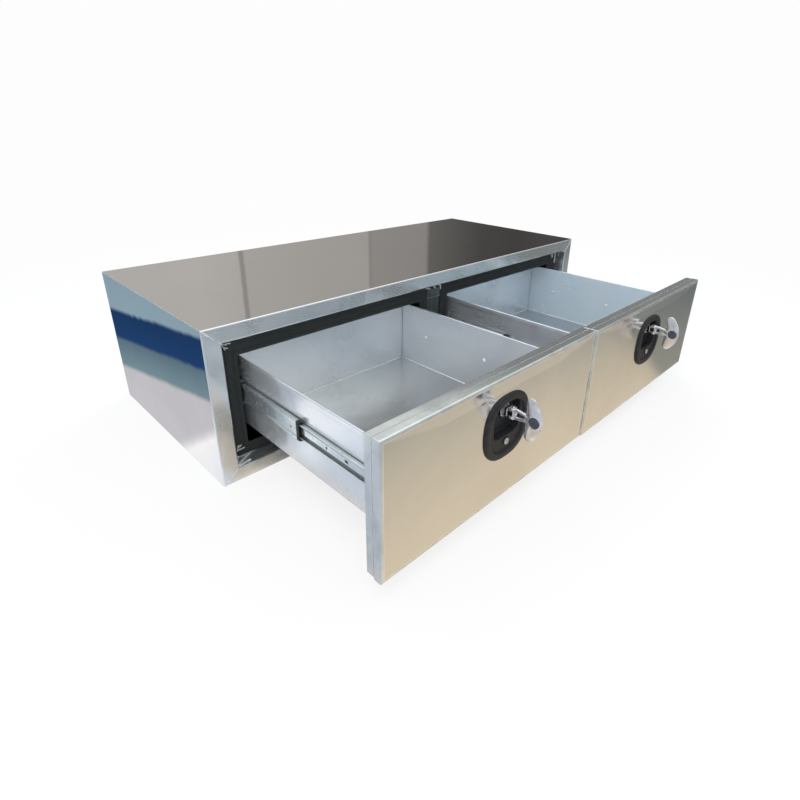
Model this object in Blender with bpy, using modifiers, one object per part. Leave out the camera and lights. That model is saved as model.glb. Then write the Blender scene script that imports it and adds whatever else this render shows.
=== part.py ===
"""Two-bay sheet-aluminium drawer unit with folding T-handle locks.

The cabinet is a folded box whose face frame carries two rubber-sealed openings.
Each opening holds a tray on a pair of three-member ball slides.  The unit is
modelled with both drawers pulled out, their handles folded out and turned.

Frame: metres, +X to the right, fronts face -Y, +Z up.  The origin is the centre of
the cabinet's underside.
"""
import math

import bmesh
import bpy
from mathutils import Matrix, Vector

# Cabinet box and its folded face frame
WIDTH = 1.200
DEPTH = 0.506
HEIGHT = 0.315
SHEET = 0.002
FLANGE_SIDE = 0.033
FLANGE_TOP = 0.032
FLANGE_BOTTOM = 0.028
REBATE = 0.036
OPENING_SIDE = 0.0727
OPENING_TOP = 0.075
OPENING_BOTTOM = 0.050
POST_WIDTH = 0.096
CARRIER_HEIGHT = 0.070

# Rubber seal round each opening: a thin band, and a thicker lobe at the opening's edge
SEAL_LOBE_WIDTH = 0.020
SEAL_BAND = 0.003
SEAL_OVERHANG = 0.0011
SEAL_MARGIN = 0.002
SEAL_STEP = 0.001
SEAL_CORNER = 0.005

# Drawer front: outer skin pan, and a liner pan behind it
FRONT_GAP_SIDE = 0.008
FRONT_GAP_TOP = 0.011
FRONT_GAP_BOTTOM = 0.008
FRONT_GAP_MIDDLE = 0.0048
FRONT_THICKNESS = 0.029
SKIN_DEPTH = 0.013
LINER_INSET = 0.0006
LINER_LIFT = 0.003

# Tray behind the front
TRAY_BOTTOM = 0.079
TRAY_HEIGHT = 0.150
TRAY_DEPTH = 0.452
HEM_HEIGHT = 0.010
HEM_THICKNESS = 0.0022

# Three-member ball slides; section sizes are across the slide (from the cabinet side)
# and up from its centre line
SLIDE_CENTRE = 0.159
SLIDE_LENGTH = 0.450
SLIDE_THICKNESS = 0.0127
SLIDE_SETBACK = 0.002
MIDDLE_SETBACK = 0.013
SLIDE_METAL = 0.0012
OUTER_MEMBER_HEIGHT = 0.0457
OUTER_MEMBER_REACH = 0.0112
RACE = 0.0032
BALL_DIAMETER = 0.0030
MIDDLE_MEMBER_START = 0.0022
MIDDLE_MEMBER_REACH = 0.0117
INNER_MEMBER_START = 0.0046
CAGE_METAL = 0.0008
CAGE_LINK = 0.0004
CAGE_LENGTH = 0.200
CAGE_SETBACK = 0.133
OUTER_CAGE_START = 0.0015
OUTER_CAGE_BALL = 0.0065
INNER_CAGE_START = 0.0038
INNER_CAGE_BALL = 0.0075
CAGE_REACH = 0.0105
CAGE_END = 0.010
CLIP_LENGTH = 0.007
CLIP_START = 0.0016
CLIP_WEB = 0.0024
CLIP_REACH = 0.0123
CLIP_INNER_HALF = 0.0149
CLIP_OUTER_HALF = 0.0194

# Screws that hold each inner member to the tray
SCREW_PLACES = (0.175, 0.355)
SCREW_RADIUS = 0.0020
SCREW_HOLE_RADIUS = 0.0023
SCREW_HEAD_RADIUS = 0.0046
SCREW_HEAD_TOP_RADIUS = 0.0030
SCREW_HEAD_HEIGHT = 0.0020

# Travel, and how far out each drawer stands
TRAVEL = 0.450
LEFT_EXTENSION = 0.398
RIGHT_EXTENSION = 0.4005

# Lock dish on the drawer front; the lock's axis is from the cabinet's underside, and the
# dish, its cup and its keeper are measured from that axis
ROTOR_HEIGHT = 0.207
DISH_DROP = 0.0284
DISH_WIDTH = 0.119
DISH_HEIGHT = 0.120
DISH_SQUARENESS = 2.5
RIM_PROUD = 0.005
RIM_WIDTH = 0.0145
RIM_ROUNDING = 0.0030
POCKET_LEVEL = 0.002
RECESS_WIDTH = 0.070
RECESS_BELOW = 0.0470
RECESS_ABOVE = 0.0155
RECESS_CORNER = 0.014
RECESS_DEPTH = 0.016
DISH_WALL = 0.002
KEEPER_DROP = 0.0575
KEEPER_RADIUS = 0.0065
KEEPER_PROUD = 0.0042
KEEPER_HOLE_RADIUS = 0.0035
KEEPER_HOLE_DEPTH = 0.0016

# Rotor, spindle, clamp plate and pawl; depths are behind the drawer's face
HUB_RADIUS = 0.013
HUB_FACE_DEPTH = 0.004
BLOCK_SIZE = 0.015
BLOCK_PROUD = 0.003
JOURNAL_RADIUS = 0.008
JOURNAL_CLEARANCE = 0.0001
TONGUE_THICKNESS = 0.008
TONGUE_RADIUS = 0.0065
SPINDLE_SQUARE = 0.009
SPINDLE_END = 0.0445
SPINDLE_CLEARANCE = 0.00015
CLAMP_SIZE = 0.056
CLAMP_ABOVE = 0.022
CLAMP_THICKNESS = 0.003
CLAMP_CORNER = 0.006
PAWL_DEPTH = 0.040
PAWL_THICKNESS = 0.004
PAWL_WIDTH = 0.018
PAWL_LENGTH = 0.046
PAWL_BOSS_RADIUS = 0.010
PAWL_NUT_RADIUS = 0.0075
PAWL_NUT_HEIGHT = 0.004

# Folding T-handle; distances are in front of the drawer's face
HANDLE_THICKNESS = 0.009
HANDLE_LIFT = 0.0005
TAIL_INNER = 0.0345
TAIL_OUTER = 0.0655
TAIL_RADIUS = 0.0500
TAIL_TIP_RADIUS = 0.0090
TAIL_ROUNDING = 0.0022
FORK_ARM = 0.006
FORK_CLEARANCE = 0.0003
PIN_RADIUS = 0.0025
PIN_CLEARANCE = 0.0001
BARREL_CENTRE = 0.0530
BARREL_RADIUS = 0.0094
BARREL_CLEARANCE = 0.0001
BARREL_PROUD = 0.0006
BARREL_RECESS = 0.0004
KEYWAY_LENGTH = 0.007
KEYWAY_WIDTH = 0.0016
KEYWAY_DEPTH = 0.0015

# Clearance between touching pieces, overrun of cutters, weld distance
FIT = 0.0003
OVERRUN = 0.004
WELD = 0.00001

# Counts and shares
ROUND_SIDES = 32
SMALL_ROUND_SIDES = 16
BALL_SIDES = 8
BALL_RINGS = 4
BALLS_PER_ROW = 5
CORNER_STEPS = 4
DISH_STEPS = 50
TAIL_STEPS = 20
BEVEL_STEPS = 3
MIDDLE_RATIO_SHARE = 0.5
OUTER_CAGE_RATIO_SHARE = 0.25
INNER_CAGE_RATIO_SHARE = 0.75
MITRE_SHARE = 1 / 3
QUARTER_TURN = math.pi / 2
SMOOTH_ANGLE = math.radians(35)
BEVEL_ANGLE = math.radians(40)

# Worked-out places
FACE_Y = -DEPTH / 2
BACK_Y = DEPTH / 2
LIP_Y = FACE_Y + REBATE
LIP_BACK_Y = LIP_Y + SHEET
FRONT_BACK_Y = FACE_Y + FRONT_THICKNESS
SLIDE_Y = LIP_BACK_Y + SLIDE_SETBACK
TRAY_END_Y = FRONT_BACK_Y + TRAY_DEPTH
OUTBOARD_PLANE = WIDTH / 2 - OPENING_SIDE
INBOARD_PLANE = POST_WIDTH / 2
TRAY_OUTBOARD = OUTBOARD_PLANE - SLIDE_THICKNESS - 2 * FIT
TRAY_INBOARD = INBOARD_PLANE + SLIDE_THICKNESS + 2 * FIT
FRONT_OUTBOARD = WIDTH / 2 - FLANGE_SIDE - FRONT_GAP_SIDE
FRONT_INBOARD = FRONT_GAP_MIDDLE / 2
FRONT_BOTTOM = FLANGE_BOTTOM + FRONT_GAP_BOTTOM
FRONT_TOP = HEIGHT - FLANGE_TOP - FRONT_GAP_TOP
LOCK_X = (FRONT_OUTBOARD + FRONT_INBOARD) / 2
TRAY_TOP = TRAY_BOTTOM + TRAY_HEIGHT
DISH_CENTRE = ROTOR_HEIGHT - DISH_DROP
KEEPER_CENTRE = ROTOR_HEIGHT - KEEPER_DROP
OUTER_HALF = OUTER_MEMBER_HEIGHT / 2
MIDDLE_HALF = OUTER_HALF - SLIDE_METAL - RACE
INNER_HALF = MIDDLE_HALF - SLIDE_METAL - RACE
PIN_PROUD = RIM_PROUD + HANDLE_LIFT + HANDLE_THICKNESS / 2
FORK_INNER = TONGUE_THICKNESS / 2 + FORK_CLEARANCE
FORK_OUTER = FORK_INNER + FORK_ARM

BAYS = {"left": (-1, LEFT_EXTENSION), "right": (1, RIGHT_EXTENSION)}

# Finishes: colour, roughness, metallic
FINISHES = {
    "polished_aluminium": ((0.66, 0.65, 0.63), 0.16, 1.0),
    "mill_aluminium": ((0.62, 0.64, 0.66), 0.34, 1.0),
    "zinc_steel": ((0.58, 0.62, 0.63), 0.28, 1.0),
    "ball_steel": ((0.70, 0.71, 0.72), 0.15, 1.0),
    "chrome": ((0.78, 0.78, 0.80), 0.08, 1.0),
    "black_casting": ((0.035, 0.036, 0.038), 0.42, 0.0),
    "black_rubber": ((0.026, 0.030, 0.030), 0.55, 0.0),
    "black_plastic": ((0.030, 0.030, 0.032), 0.45, 0.0),
    "dark_barrel": ((0.085, 0.100, 0.125), 0.45, 0.2),
}

# Axis maps for outlines: the outline's own X and Y become the first two of
# (Y, Z), (X, Z) or (X, Y), and its thickness runs along the named axis
AXIS_TURNS = {
    "X": Matrix(((0, 0, 1, 0), (1, 0, 0, 0), (0, 1, 0, 0), (0, 0, 0, 1))),
    "Y": Matrix(((1, 0, 0, 0), (0, 0, -1, 0), (0, 1, 0, 0), (0, 0, 0, 1))),
    "Z": Matrix.Identity(4),
}


def start_collection(name):
    """Add a collection to the scene."""
    collection = bpy.data.collections.new(name)
    bpy.context.scene.collection.children.link(collection)
    return collection


for leftover in list(bpy.data.objects):
    bpy.data.objects.remove(leftover, do_unlink=True)
PARTS = start_collection("drawer_unit")
CUTTERS = start_collection("cutters")


def add_material(obj, finish):
    """Give an object its own Principled material in one of the finishes."""
    colour, roughness, metallic = FINISHES[finish]
    material = bpy.data.materials.new(obj.name)
    material.use_nodes = True
    shader = material.node_tree.nodes["Principled BSDF"]
    shader.inputs["Base Color"].default_value = (*colour, 1.0)
    shader.inputs["Roughness"].default_value = roughness
    shader.inputs["Metallic"].default_value = metallic
    material.diffuse_color = (*colour, 1.0)
    obj.data.materials.clear()
    obj.data.materials.append(material)


def add_empty(name, location=(0, 0, 0), turn=(0, 0, 0), parent=None):
    """Add an empty that marks a joint's axis and carries what moves about it."""
    empty = bpy.data.objects.new(name, None)
    PARTS.objects.link(empty)
    empty.location = location
    empty.rotation_euler = turn
    empty.parent = parent
    return empty


def add_part(name, mesh, finish, parent=None):
    """Put a mesh in the scene as a named piece."""
    obj = bpy.data.objects.new(name, mesh)
    PARTS.objects.link(obj)
    obj.parent = parent
    add_material(obj, finish)
    return obj


def add_cutter(name, mesh, parent=None):
    """Put a mesh in the scene as a hidden cutter."""
    obj = bpy.data.objects.new(name, mesh)
    CUTTERS.objects.link(obj)
    obj.parent = parent
    obj.hide_render = True
    obj.display_type = "WIRE"
    return obj


def apply_boolean(obj, tool, operation="DIFFERENCE"):
    """Add an exact Boolean with one tool object."""
    modifier = obj.modifiers.new(tool.name, "BOOLEAN")
    modifier.operation = operation
    modifier.object = tool
    modifier.solver = "EXACT"


def add_bevel(obj, width, steps=BEVEL_STEPS):
    """Round the edges that are sharper than the bevel angle."""
    modifier = obj.modifiers.new("rounding", "BEVEL")
    modifier.width = width
    modifier.segments = steps
    modifier.limit_method = "ANGLE"
    modifier.angle_limit = BEVEL_ANGLE


def outline_mesh(name, loops, low, high, axis):
    """Extrude flat closed outlines from low to high along an axis; inner loops are holes."""
    curve = bpy.data.curves.new(name, "CURVE")
    curve.dimensions = "2D"
    curve.fill_mode = "BOTH"
    curve.extrude = (high - low) / 2
    for loop in loops:
        spline = curve.splines.new("POLY")
        spline.points.add(len(loop) - 1)
        for point, (u, v) in zip(spline.points, loop):
            point.co = (u, v, 0, 1)
        spline.use_cyclic_u = True
    holder = bpy.data.objects.new(name, curve)
    bpy.context.scene.collection.objects.link(holder)
    depsgraph = bpy.context.evaluated_depsgraph_get()
    mesh = bpy.data.meshes.new_from_object(holder.evaluated_get(depsgraph))
    bpy.data.objects.remove(holder, do_unlink=True)
    bpy.data.curves.remove(curve)
    step = {"X": Vector((1, 0, 0)), "Y": Vector((0, 1, 0)), "Z": Vector((0, 0, 1))}[axis]
    mesh.transform(Matrix.Translation(step * (low + high) / 2) @ AXIS_TURNS[axis])
    work = bmesh.new()
    work.from_mesh(mesh)
    bmesh.ops.remove_doubles(work, verts=work.verts, dist=WELD)
    bmesh.ops.recalc_face_normals(work, faces=work.faces)
    work.to_mesh(mesh)
    work.free()
    mesh.name = name
    return mesh


def box_mesh(name, low, high):
    """A box between two corners."""
    low, high = Vector(low), Vector(high)
    work = bmesh.new()
    bmesh.ops.create_cube(work, size=1.0)
    size = Matrix.Diagonal((*(high - low), 1.0))
    bmesh.ops.transform(work, matrix=Matrix.Translation((low + high) / 2) @ size, verts=work.verts)
    mesh = bpy.data.meshes.new(name)
    work.to_mesh(mesh)
    work.free()
    return mesh


def rod_mesh(name, start, end, radius, sides, end_radius=None):
    """A cylinder, or a cone with its tip cut off, between two points."""
    start, end = Vector(start), Vector(end)
    work = bmesh.new()
    bmesh.ops.create_cone(work, cap_ends=True, segments=sides, radius1=radius,
                          radius2=radius if end_radius is None else end_radius,
                          depth=(end - start).length)
    turn = (end - start).to_track_quat("Z", "Y").to_matrix().to_4x4()
    bmesh.ops.transform(work, matrix=Matrix.Translation((start + end) / 2) @ turn, verts=work.verts)
    mesh = bpy.data.meshes.new(name)
    work.to_mesh(mesh)
    work.free()
    mesh.shade_smooth()
    mesh.set_sharp_from_angle(angle=SMOOTH_ANGLE)
    return mesh


def ball_mesh(name, centre):
    """One bearing ball."""
    work = bmesh.new()
    bmesh.ops.create_uvsphere(work, u_segments=BALL_SIDES, v_segments=BALL_RINGS,
                              radius=BALL_DIAMETER / 2)
    bmesh.ops.translate(work, vec=Vector(centre), verts=work.verts)
    mesh = bpy.data.meshes.new(name)
    work.to_mesh(mesh)
    work.free()
    return mesh


def pan_mesh(name, low, high, open_side):
    """A box shell of sheet with one open side, -Y or +Y; its size is the outside."""
    mesh = box_mesh(name, low, high)
    work = bmesh.new()
    work.from_mesh(mesh)
    opened = [face for face in work.faces if face.normal.y * open_side > MIDDLE_RATIO_SHARE]
    bmesh.ops.delete(work, geom=opened, context="FACES")
    work.to_mesh(mesh)
    work.free()
    return mesh


def arc(centre, radius, start, end, steps):
    """Points along an arc, both ends included."""
    turns = [start + (end - start) * step / steps for step in range(steps + 1)]
    return [(centre[0] + radius * math.cos(t), centre[1] + radius * math.sin(t)) for t in turns]


def rounded_rectangle(low, high, radius, steps=CORNER_STEPS):
    """A rectangle's outline with round corners, from the lower right corner round."""
    (u0, v0), (u1, v1) = low, high
    corners = (((u1 - radius, v0 + radius), -QUARTER_TURN), ((u1 - radius, v1 - radius), 0),
               ((u0 + radius, v1 - radius), QUARTER_TURN), ((u0 + radius, v0 + radius), math.pi))
    points = []
    for centre, start in corners:
        points += arc(centre, radius, start, start + QUARTER_TURN, steps)
    return points


def folded_outline(points, thickness):
    """Close a square-cornered outer line into a sheet that lies on its left hand."""
    directions = []
    for (u0, v0), (u1, v1) in zip(points, points[1:]):
        length = math.hypot(u1 - u0, v1 - v0)
        directions.append(((u1 - u0) / length, (v1 - v0) / length))
    inner = []
    for index, (u, v) in enumerate(points):
        around = {directions[max(index - 1, 0)], directions[min(index, len(directions) - 1)]}
        shift_u = sum(-d[1] for d in around) * thickness
        shift_v = sum(d[0] for d in around) * thickness
        inner.append((u + shift_u, v + shift_v))
    return list(points) + inner[::-1]


def mirrored(points, hand):
    """Outline points whose first value is a distance from the middle, on one hand."""
    return [(hand * u, v) for u, v in points]


def superellipse(centre, half_width, half_height):
    """The lock dish's outline: a circle pushed towards a square."""
    power = 2 / DISH_SQUARENESS
    points = []
    for step in range(DISH_STEPS):
        turn = 2 * math.pi * step / DISH_STEPS
        c, s = math.cos(turn), math.sin(turn)
        points.append((centre[0] + half_width * math.copysign(abs(c) ** power, c),
                       centre[1] + half_height * math.copysign(abs(s) ** power, s)))
    return points


def extend(outer, inner, overrun):
    """The point that lies past outer on the line from inner."""
    outer, inner = Vector(outer), Vector(inner)
    return tuple(outer + (outer - inner).normalized() * overrun)


def make_level_panel(name, top):
    """Top or bottom panel: skin, flange, rebate wall and lip in one folded sheet."""
    flange = FLANGE_TOP if top else FLANGE_BOTTOM
    opening = OPENING_TOP if top else OPENING_BOTTOM
    sign, base = (-1, HEIGHT) if top else (1, 0)
    skin = [(BACK_Y, 0), (FACE_Y, 0), (FACE_Y, flange), (LIP_Y, flange), (LIP_Y, opening)]
    inside = [(LIP_BACK_Y, opening), (LIP_BACK_Y, flange - SHEET), (FACE_Y + SHEET, flange - SHEET),
              (FACE_Y + SHEET, SHEET), (BACK_Y, SHEET)]
    section = [(y, base + sign * depth) for y, depth in skin + inside]
    panel = add_part(name, outline_mesh(name, [section], -WIDTH / 2, WIDTH / 2, "X"),
                     "polished_aluminium")
    corner = (WIDTH / 2 - FIT, base)
    mitre = (WIDTH / 2 - FLANGE_SIDE - FIT, base + sign * flange)
    lip_x = OUTBOARD_PLANE - FIT
    half = [extend(corner, mitre, OVERRUN), mitre, (lip_x, mitre[1] + sign * FIT * MITRE_SHARE),
            (lip_x, base + sign * (opening + OVERRUN))]
    gauge = half + [(-x, z) for x, z in reversed(half)]
    apply_boolean(panel, add_cutter(name + "_gauge", outline_mesh(
        name + "_gauge", [gauge], FACE_Y - OVERRUN, BACK_Y + OVERRUN, "Y")), "INTERSECT")


def make_side_panel(name, hand):
    """Side panel: skin, flange, rebate wall and lip in one folded sheet."""
    skin = [(0, BACK_Y), (0, FACE_Y), (FLANGE_SIDE, FACE_Y), (FLANGE_SIDE, LIP_Y),
            (OPENING_SIDE, LIP_Y)]
    inside = [(OPENING_SIDE, LIP_BACK_Y), (FLANGE_SIDE - SHEET, LIP_BACK_Y),
              (FLANGE_SIDE - SHEET, FACE_Y + SHEET), (SHEET, FACE_Y + SHEET), (SHEET, BACK_Y)]
    section = [(hand * (WIDTH / 2 - depth), y) for depth, y in skin + inside]
    panel = add_part(name, outline_mesh(name, [section], 0, HEIGHT, "Z"), "polished_aluminium")
    low_corner, low_mitre = (WIDTH / 2, 0), (WIDTH / 2 - FLANGE_SIDE, FLANGE_BOTTOM)
    top_corner, top_mitre = (WIDTH / 2, HEIGHT), (WIDTH / 2 - FLANGE_SIDE, HEIGHT - FLANGE_TOP)
    lip_x = OUTBOARD_PLANE - OVERRUN
    step_x, top_step, low_step = top_mitre[0] - FIT, top_mitre[1] - 2 * FIT, low_mitre[1] + 2 * FIT
    gauge = [extend(low_corner, low_mitre, OVERRUN), extend(top_corner, top_mitre, OVERRUN),
             top_mitre, (step_x, top_step), (lip_x, top_step), (lip_x, low_step),
             (step_x, low_step), low_mitre]
    apply_boolean(panel, add_cutter(name + "_gauge", outline_mesh(
        name + "_gauge", [mirrored(gauge, hand)], FACE_Y - OVERRUN, BACK_Y + OVERRUN, "Y")),
        "INTERSECT")


def make_cabinet():
    """The folded box, its back, the centre divider and the slide carriers."""
    make_level_panel("top_panel", True)
    make_level_panel("bottom_panel", False)
    make_side_panel("left_side_panel", -1)
    make_side_panel("right_side_panel", 1)
    inset = SHEET + FIT
    add_part("back_panel", box_mesh("back_panel", (-WIDTH / 2 + inset, BACK_Y - SHEET, inset),
                                    (WIDTH / 2 - inset, BACK_Y, HEIGHT - inset)),
             "polished_aluminium")
    inner_end = BACK_Y - inset
    half = POST_WIDTH / 2
    channel = folded_outline([(half, inner_end), (half, LIP_Y), (-half, LIP_Y),
                              (-half, inner_end)][::-1], SHEET)
    divider = add_part("centre_divider", outline_mesh(
        "centre_divider", [channel], inset, HEIGHT - inset, "Z"), "polished_aluminium")
    step_y = LIP_BACK_Y + FIT
    low, high = OPENING_BOTTOM + FIT, HEIGHT - OPENING_TOP - FIT
    floor, ceiling, back = -OVERRUN, HEIGHT + OVERRUN, BACK_Y + OVERRUN
    gauge = [(LIP_Y - OVERRUN, low), (step_y, low), (step_y, floor), (back, floor),
             (back, ceiling), (step_y, ceiling), (step_y, high), (LIP_Y - OVERRUN, high)]
    apply_boolean(divider, add_cutter("divider_gauge", outline_mesh(
        "divider_gauge", [gauge], -half - OVERRUN, half + OVERRUN, "X")), "INTERSECT")
    for bay, (hand, _) in BAYS.items():
        foot = WIDTH / 2 - inset
        low, high = SLIDE_CENTRE - CARRIER_HEIGHT / 2, SLIDE_CENTRE + CARRIER_HEIGHT / 2
        line = [(foot, high), (OUTBOARD_PLANE, high), (OUTBOARD_PLANE, low), (foot, low)]
        name = bay + "_slide_carrier"
        section = mirrored(folded_outline(line, SHEET), hand)
        add_part(name, outline_mesh(name, [section], step_y, inner_end, "Y"), "mill_aluminium")


def make_seal(bay, hand):
    """Rubber seal on the lip: a flat band with a thick lobe along the opening."""
    name = bay + "_opening_seal"
    near, far = INBOARD_PLANE + SEAL_OVERHANG, OUTBOARD_PLANE - SEAL_OVERHANG
    low, high = OPENING_BOTTOM + SEAL_OVERHANG, HEIGHT - OPENING_TOP - SEAL_OVERHANG
    hole = [(near, low), (far, low), (far, high), (near, high)]
    lobe = [(near - SEAL_LOBE_WIDTH, low - SEAL_LOBE_WIDTH),
            (far + SEAL_LOBE_WIDTH, high + SEAL_LOBE_WIDTH)]
    back = LIP_Y - FIT
    front = FRONT_BACK_Y + FIT
    lobe_loop = rounded_rectangle(*lobe, SEAL_CORNER)
    body = add_part(name, outline_mesh(name, [mirrored(lobe_loop, hand), mirrored(hole, hand)],
                                       front, back, "Y"), "black_rubber")
    band = [(near - SEAL_LOBE_WIDTH - SEAL_STEP, low - SEAL_LOBE_WIDTH - SEAL_STEP),
            (WIDTH / 2 - FLANGE_SIDE - SEAL_MARGIN, HEIGHT - FLANGE_TOP - SEAL_MARGIN)]
    inner = [(near - SEAL_STEP, low - SEAL_STEP), (far + SEAL_STEP, low - SEAL_STEP),
             (far + SEAL_STEP, high + SEAL_STEP), (near - SEAL_STEP, high + SEAL_STEP)]
    band_loop = rounded_rectangle(*band, SEAL_CORNER)
    tool = add_cutter(name + "_band", outline_mesh(
        name + "_band", [mirrored(band_loop, hand), mirrored(inner, hand)],
        back - SEAL_BAND, back - FIT, "Y"))
    apply_boolean(body, tool, "UNION")


def slide_section(start, reach, half, metal, open_outwards):
    """C-section of a slide member; distances are across the slide from its cabinet side."""
    if open_outwards:
        line = [(reach, -half), (start, -half), (start, half), (reach, half)]
        return folded_outline(line[::-1], metal)
    line = [(start, -half), (reach, -half), (reach, half), (start, half)]
    return folded_outline(line, metal)


def place_section(section, plane, sign):
    """Put a slide section at its mounting plane, SLIDE_CENTRE up."""
    return [(plane + sign * (across + FIT), SLIDE_CENTRE + up) for across, up in section]


def make_cage(name, parent, plane, sign, start, ball_across, ball_up):
    """Ball cage: a thin channel round the member inside it, with a row of balls each side."""
    half = ball_up + CAGE_METAL / 2
    web = [(CAGE_REACH, -half), (start, -half), (start, half), (CAGE_REACH, half)]
    inner = [(CAGE_REACH, half - CAGE_METAL), (start + CAGE_LINK, half - CAGE_METAL),
             (start + CAGE_LINK, -half + CAGE_METAL), (CAGE_REACH, -half + CAGE_METAL)]
    section = place_section(web + inner, plane, sign)
    low = SLIDE_Y + CAGE_SETBACK
    cage = add_part(name, outline_mesh(name, [section], low, low + CAGE_LENGTH, "Y"),
                    "ball_steel", parent)
    pitch = (CAGE_LENGTH - 2 * CAGE_END) / (BALLS_PER_ROW - 1)
    for row in (-1, 1):
        for index in range(BALLS_PER_ROW):
            centre = (plane + sign * (ball_across + FIT), low + CAGE_END + index * pitch,
                      SLIDE_CENTRE + row * ball_up)
            ball_name = f"{name}_ball_{(row + 1) // 2}_{index}"
            apply_boolean(cage, add_cutter(ball_name, ball_mesh(ball_name, centre), parent), "UNION")


def make_slide(bay, side, plane, sign, carriers):
    """One three-member ball slide, closed; its moving members hang on their empties."""
    name = f"{bay}_{side}_"
    end = SLIDE_Y + SLIDE_LENGTH
    drawer, middle, outer_cage, inner_cage = carriers
    middle_start = SLIDE_Y + MIDDLE_SETBACK
    sections = (
        ("outer_member", None, SLIDE_Y,
         slide_section(0, OUTER_MEMBER_REACH, OUTER_HALF, SLIDE_METAL, True)),
        ("middle_member", middle, middle_start,
         slide_section(MIDDLE_MEMBER_START, MIDDLE_MEMBER_REACH, MIDDLE_HALF, SLIDE_METAL, True)),
        ("inner_member", drawer, SLIDE_Y,
         slide_section(INNER_MEMBER_START, SLIDE_THICKNESS, INNER_HALF, SLIDE_METAL, False)),
    )
    members = {}
    for kind, parent, start, section in sections:
        mesh = outline_mesh(name + kind, [place_section(section, plane, sign)], start, end, "Y")
        members[kind] = add_part(name + kind, mesh, "zinc_steel", parent)
    clip = [(CLIP_REACH, -CLIP_OUTER_HALF), (CLIP_START, -CLIP_OUTER_HALF),
            (CLIP_START, CLIP_OUTER_HALF), (CLIP_REACH, CLIP_OUTER_HALF),
            (CLIP_REACH, CLIP_INNER_HALF), (CLIP_START + CLIP_WEB, CLIP_INNER_HALF),
            (CLIP_START + CLIP_WEB, -CLIP_INNER_HALF), (CLIP_REACH, -CLIP_INNER_HALF)]
    clip_end = middle_start - FIT
    add_part(name + "end_clip", outline_mesh(name + "end_clip", [place_section(clip, plane, sign)],
                                             clip_end - CLIP_LENGTH, clip_end, "Y"),
             "black_plastic", middle)
    outer_race = OUTER_HALF - SLIDE_METAL - RACE / 2
    inner_race = MIDDLE_HALF - SLIDE_METAL - RACE / 2
    make_cage(name + "outer_cage", outer_cage, plane, sign, OUTER_CAGE_START, OUTER_CAGE_BALL,
              outer_race)
    make_cage(name + "inner_cage", inner_cage, plane, sign, INNER_CAGE_START, INNER_CAGE_BALL,
              inner_race)
    return members["inner_member"]


def add_screws(bay, side, plane, sign, member, wall, drawer):
    """Screws through the tray wall, one piece with the slide member that they hold."""
    web = SLIDE_THICKNESS + FIT - SLIDE_METAL / 2
    seat = SLIDE_THICKNESS + 3 * FIT + SHEET
    for index, place in enumerate(SCREW_PLACES):
        name = f"{bay}_{side}_screw_{index}"
        y = SLIDE_Y + place

        def point(across):
            return plane + sign * across, y, SLIDE_CENTRE

        hole = add_cutter(name + "_hole", rod_mesh(
            name + "_hole", point(web), point(seat + OVERRUN), SCREW_HOLE_RADIUS,
            SMALL_ROUND_SIDES), drawer)
        apply_boolean(wall, hole)
        shank = add_cutter(name + "_shank", rod_mesh(
            name + "_shank", point(web), point(seat + SCREW_HEAD_HEIGHT / 2), SCREW_RADIUS,
            SMALL_ROUND_SIDES), drawer)
        head = add_cutter(name + "_head", rod_mesh(
            name + "_head", point(seat), point(seat + SCREW_HEAD_HEIGHT), SCREW_HEAD_RADIUS,
            SMALL_ROUND_SIDES, SCREW_HEAD_TOP_RADIUS), drawer)
        apply_boolean(member, shank, "UNION")
        apply_boolean(member, head, "UNION")


def make_tray(bay, hand, drawer):
    """Tray floor, side walls with folded hems, and back wall; returns the side walls."""
    start, end = FRONT_BACK_Y + FIT, TRAY_END_Y
    walls = {}
    for side, outside, inwards in (("outboard", TRAY_OUTBOARD, -1), ("inboard", TRAY_INBOARD, 1)):
        face, inner = outside, outside + inwards * SHEET
        hem = outside - inwards * HEM_THICKNESS
        hem_low = TRAY_TOP - HEM_HEIGHT
        section = [(inner, TRAY_BOTTOM), (inner, TRAY_TOP), (hem, TRAY_TOP), (hem, hem_low),
                   (face, hem_low), (face, TRAY_BOTTOM)]
        name = f"{bay}_drawer_{side}_wall"
        walls[side] = add_part(name, outline_mesh(name, [mirrored(section, hand)], start, end, "Y"),
                               "mill_aluminium", drawer)
    near, far = sorted((hand * (TRAY_INBOARD + SHEET + FIT), hand * (TRAY_OUTBOARD - SHEET - FIT)))
    name = bay + "_drawer_back_wall"
    add_part(name, box_mesh(name, (near, end - SHEET, TRAY_BOTTOM), (far, end, TRAY_TOP)),
             "mill_aluminium", drawer)
    name = bay + "_drawer_floor"
    add_part(name, box_mesh(name, (near, start, TRAY_BOTTOM),
                            (far, end - SHEET - FIT, TRAY_BOTTOM + SHEET)),
             "mill_aluminium", drawer)
    return walls


def add_solidify(obj):
    """Turn a pan's open surface into sheet, inwards."""
    modifier = obj.modifiers.new("sheet", "SOLIDIFY")
    modifier.thickness = SHEET
    modifier.offset = -1
    modifier.use_even_offset = True


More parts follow.
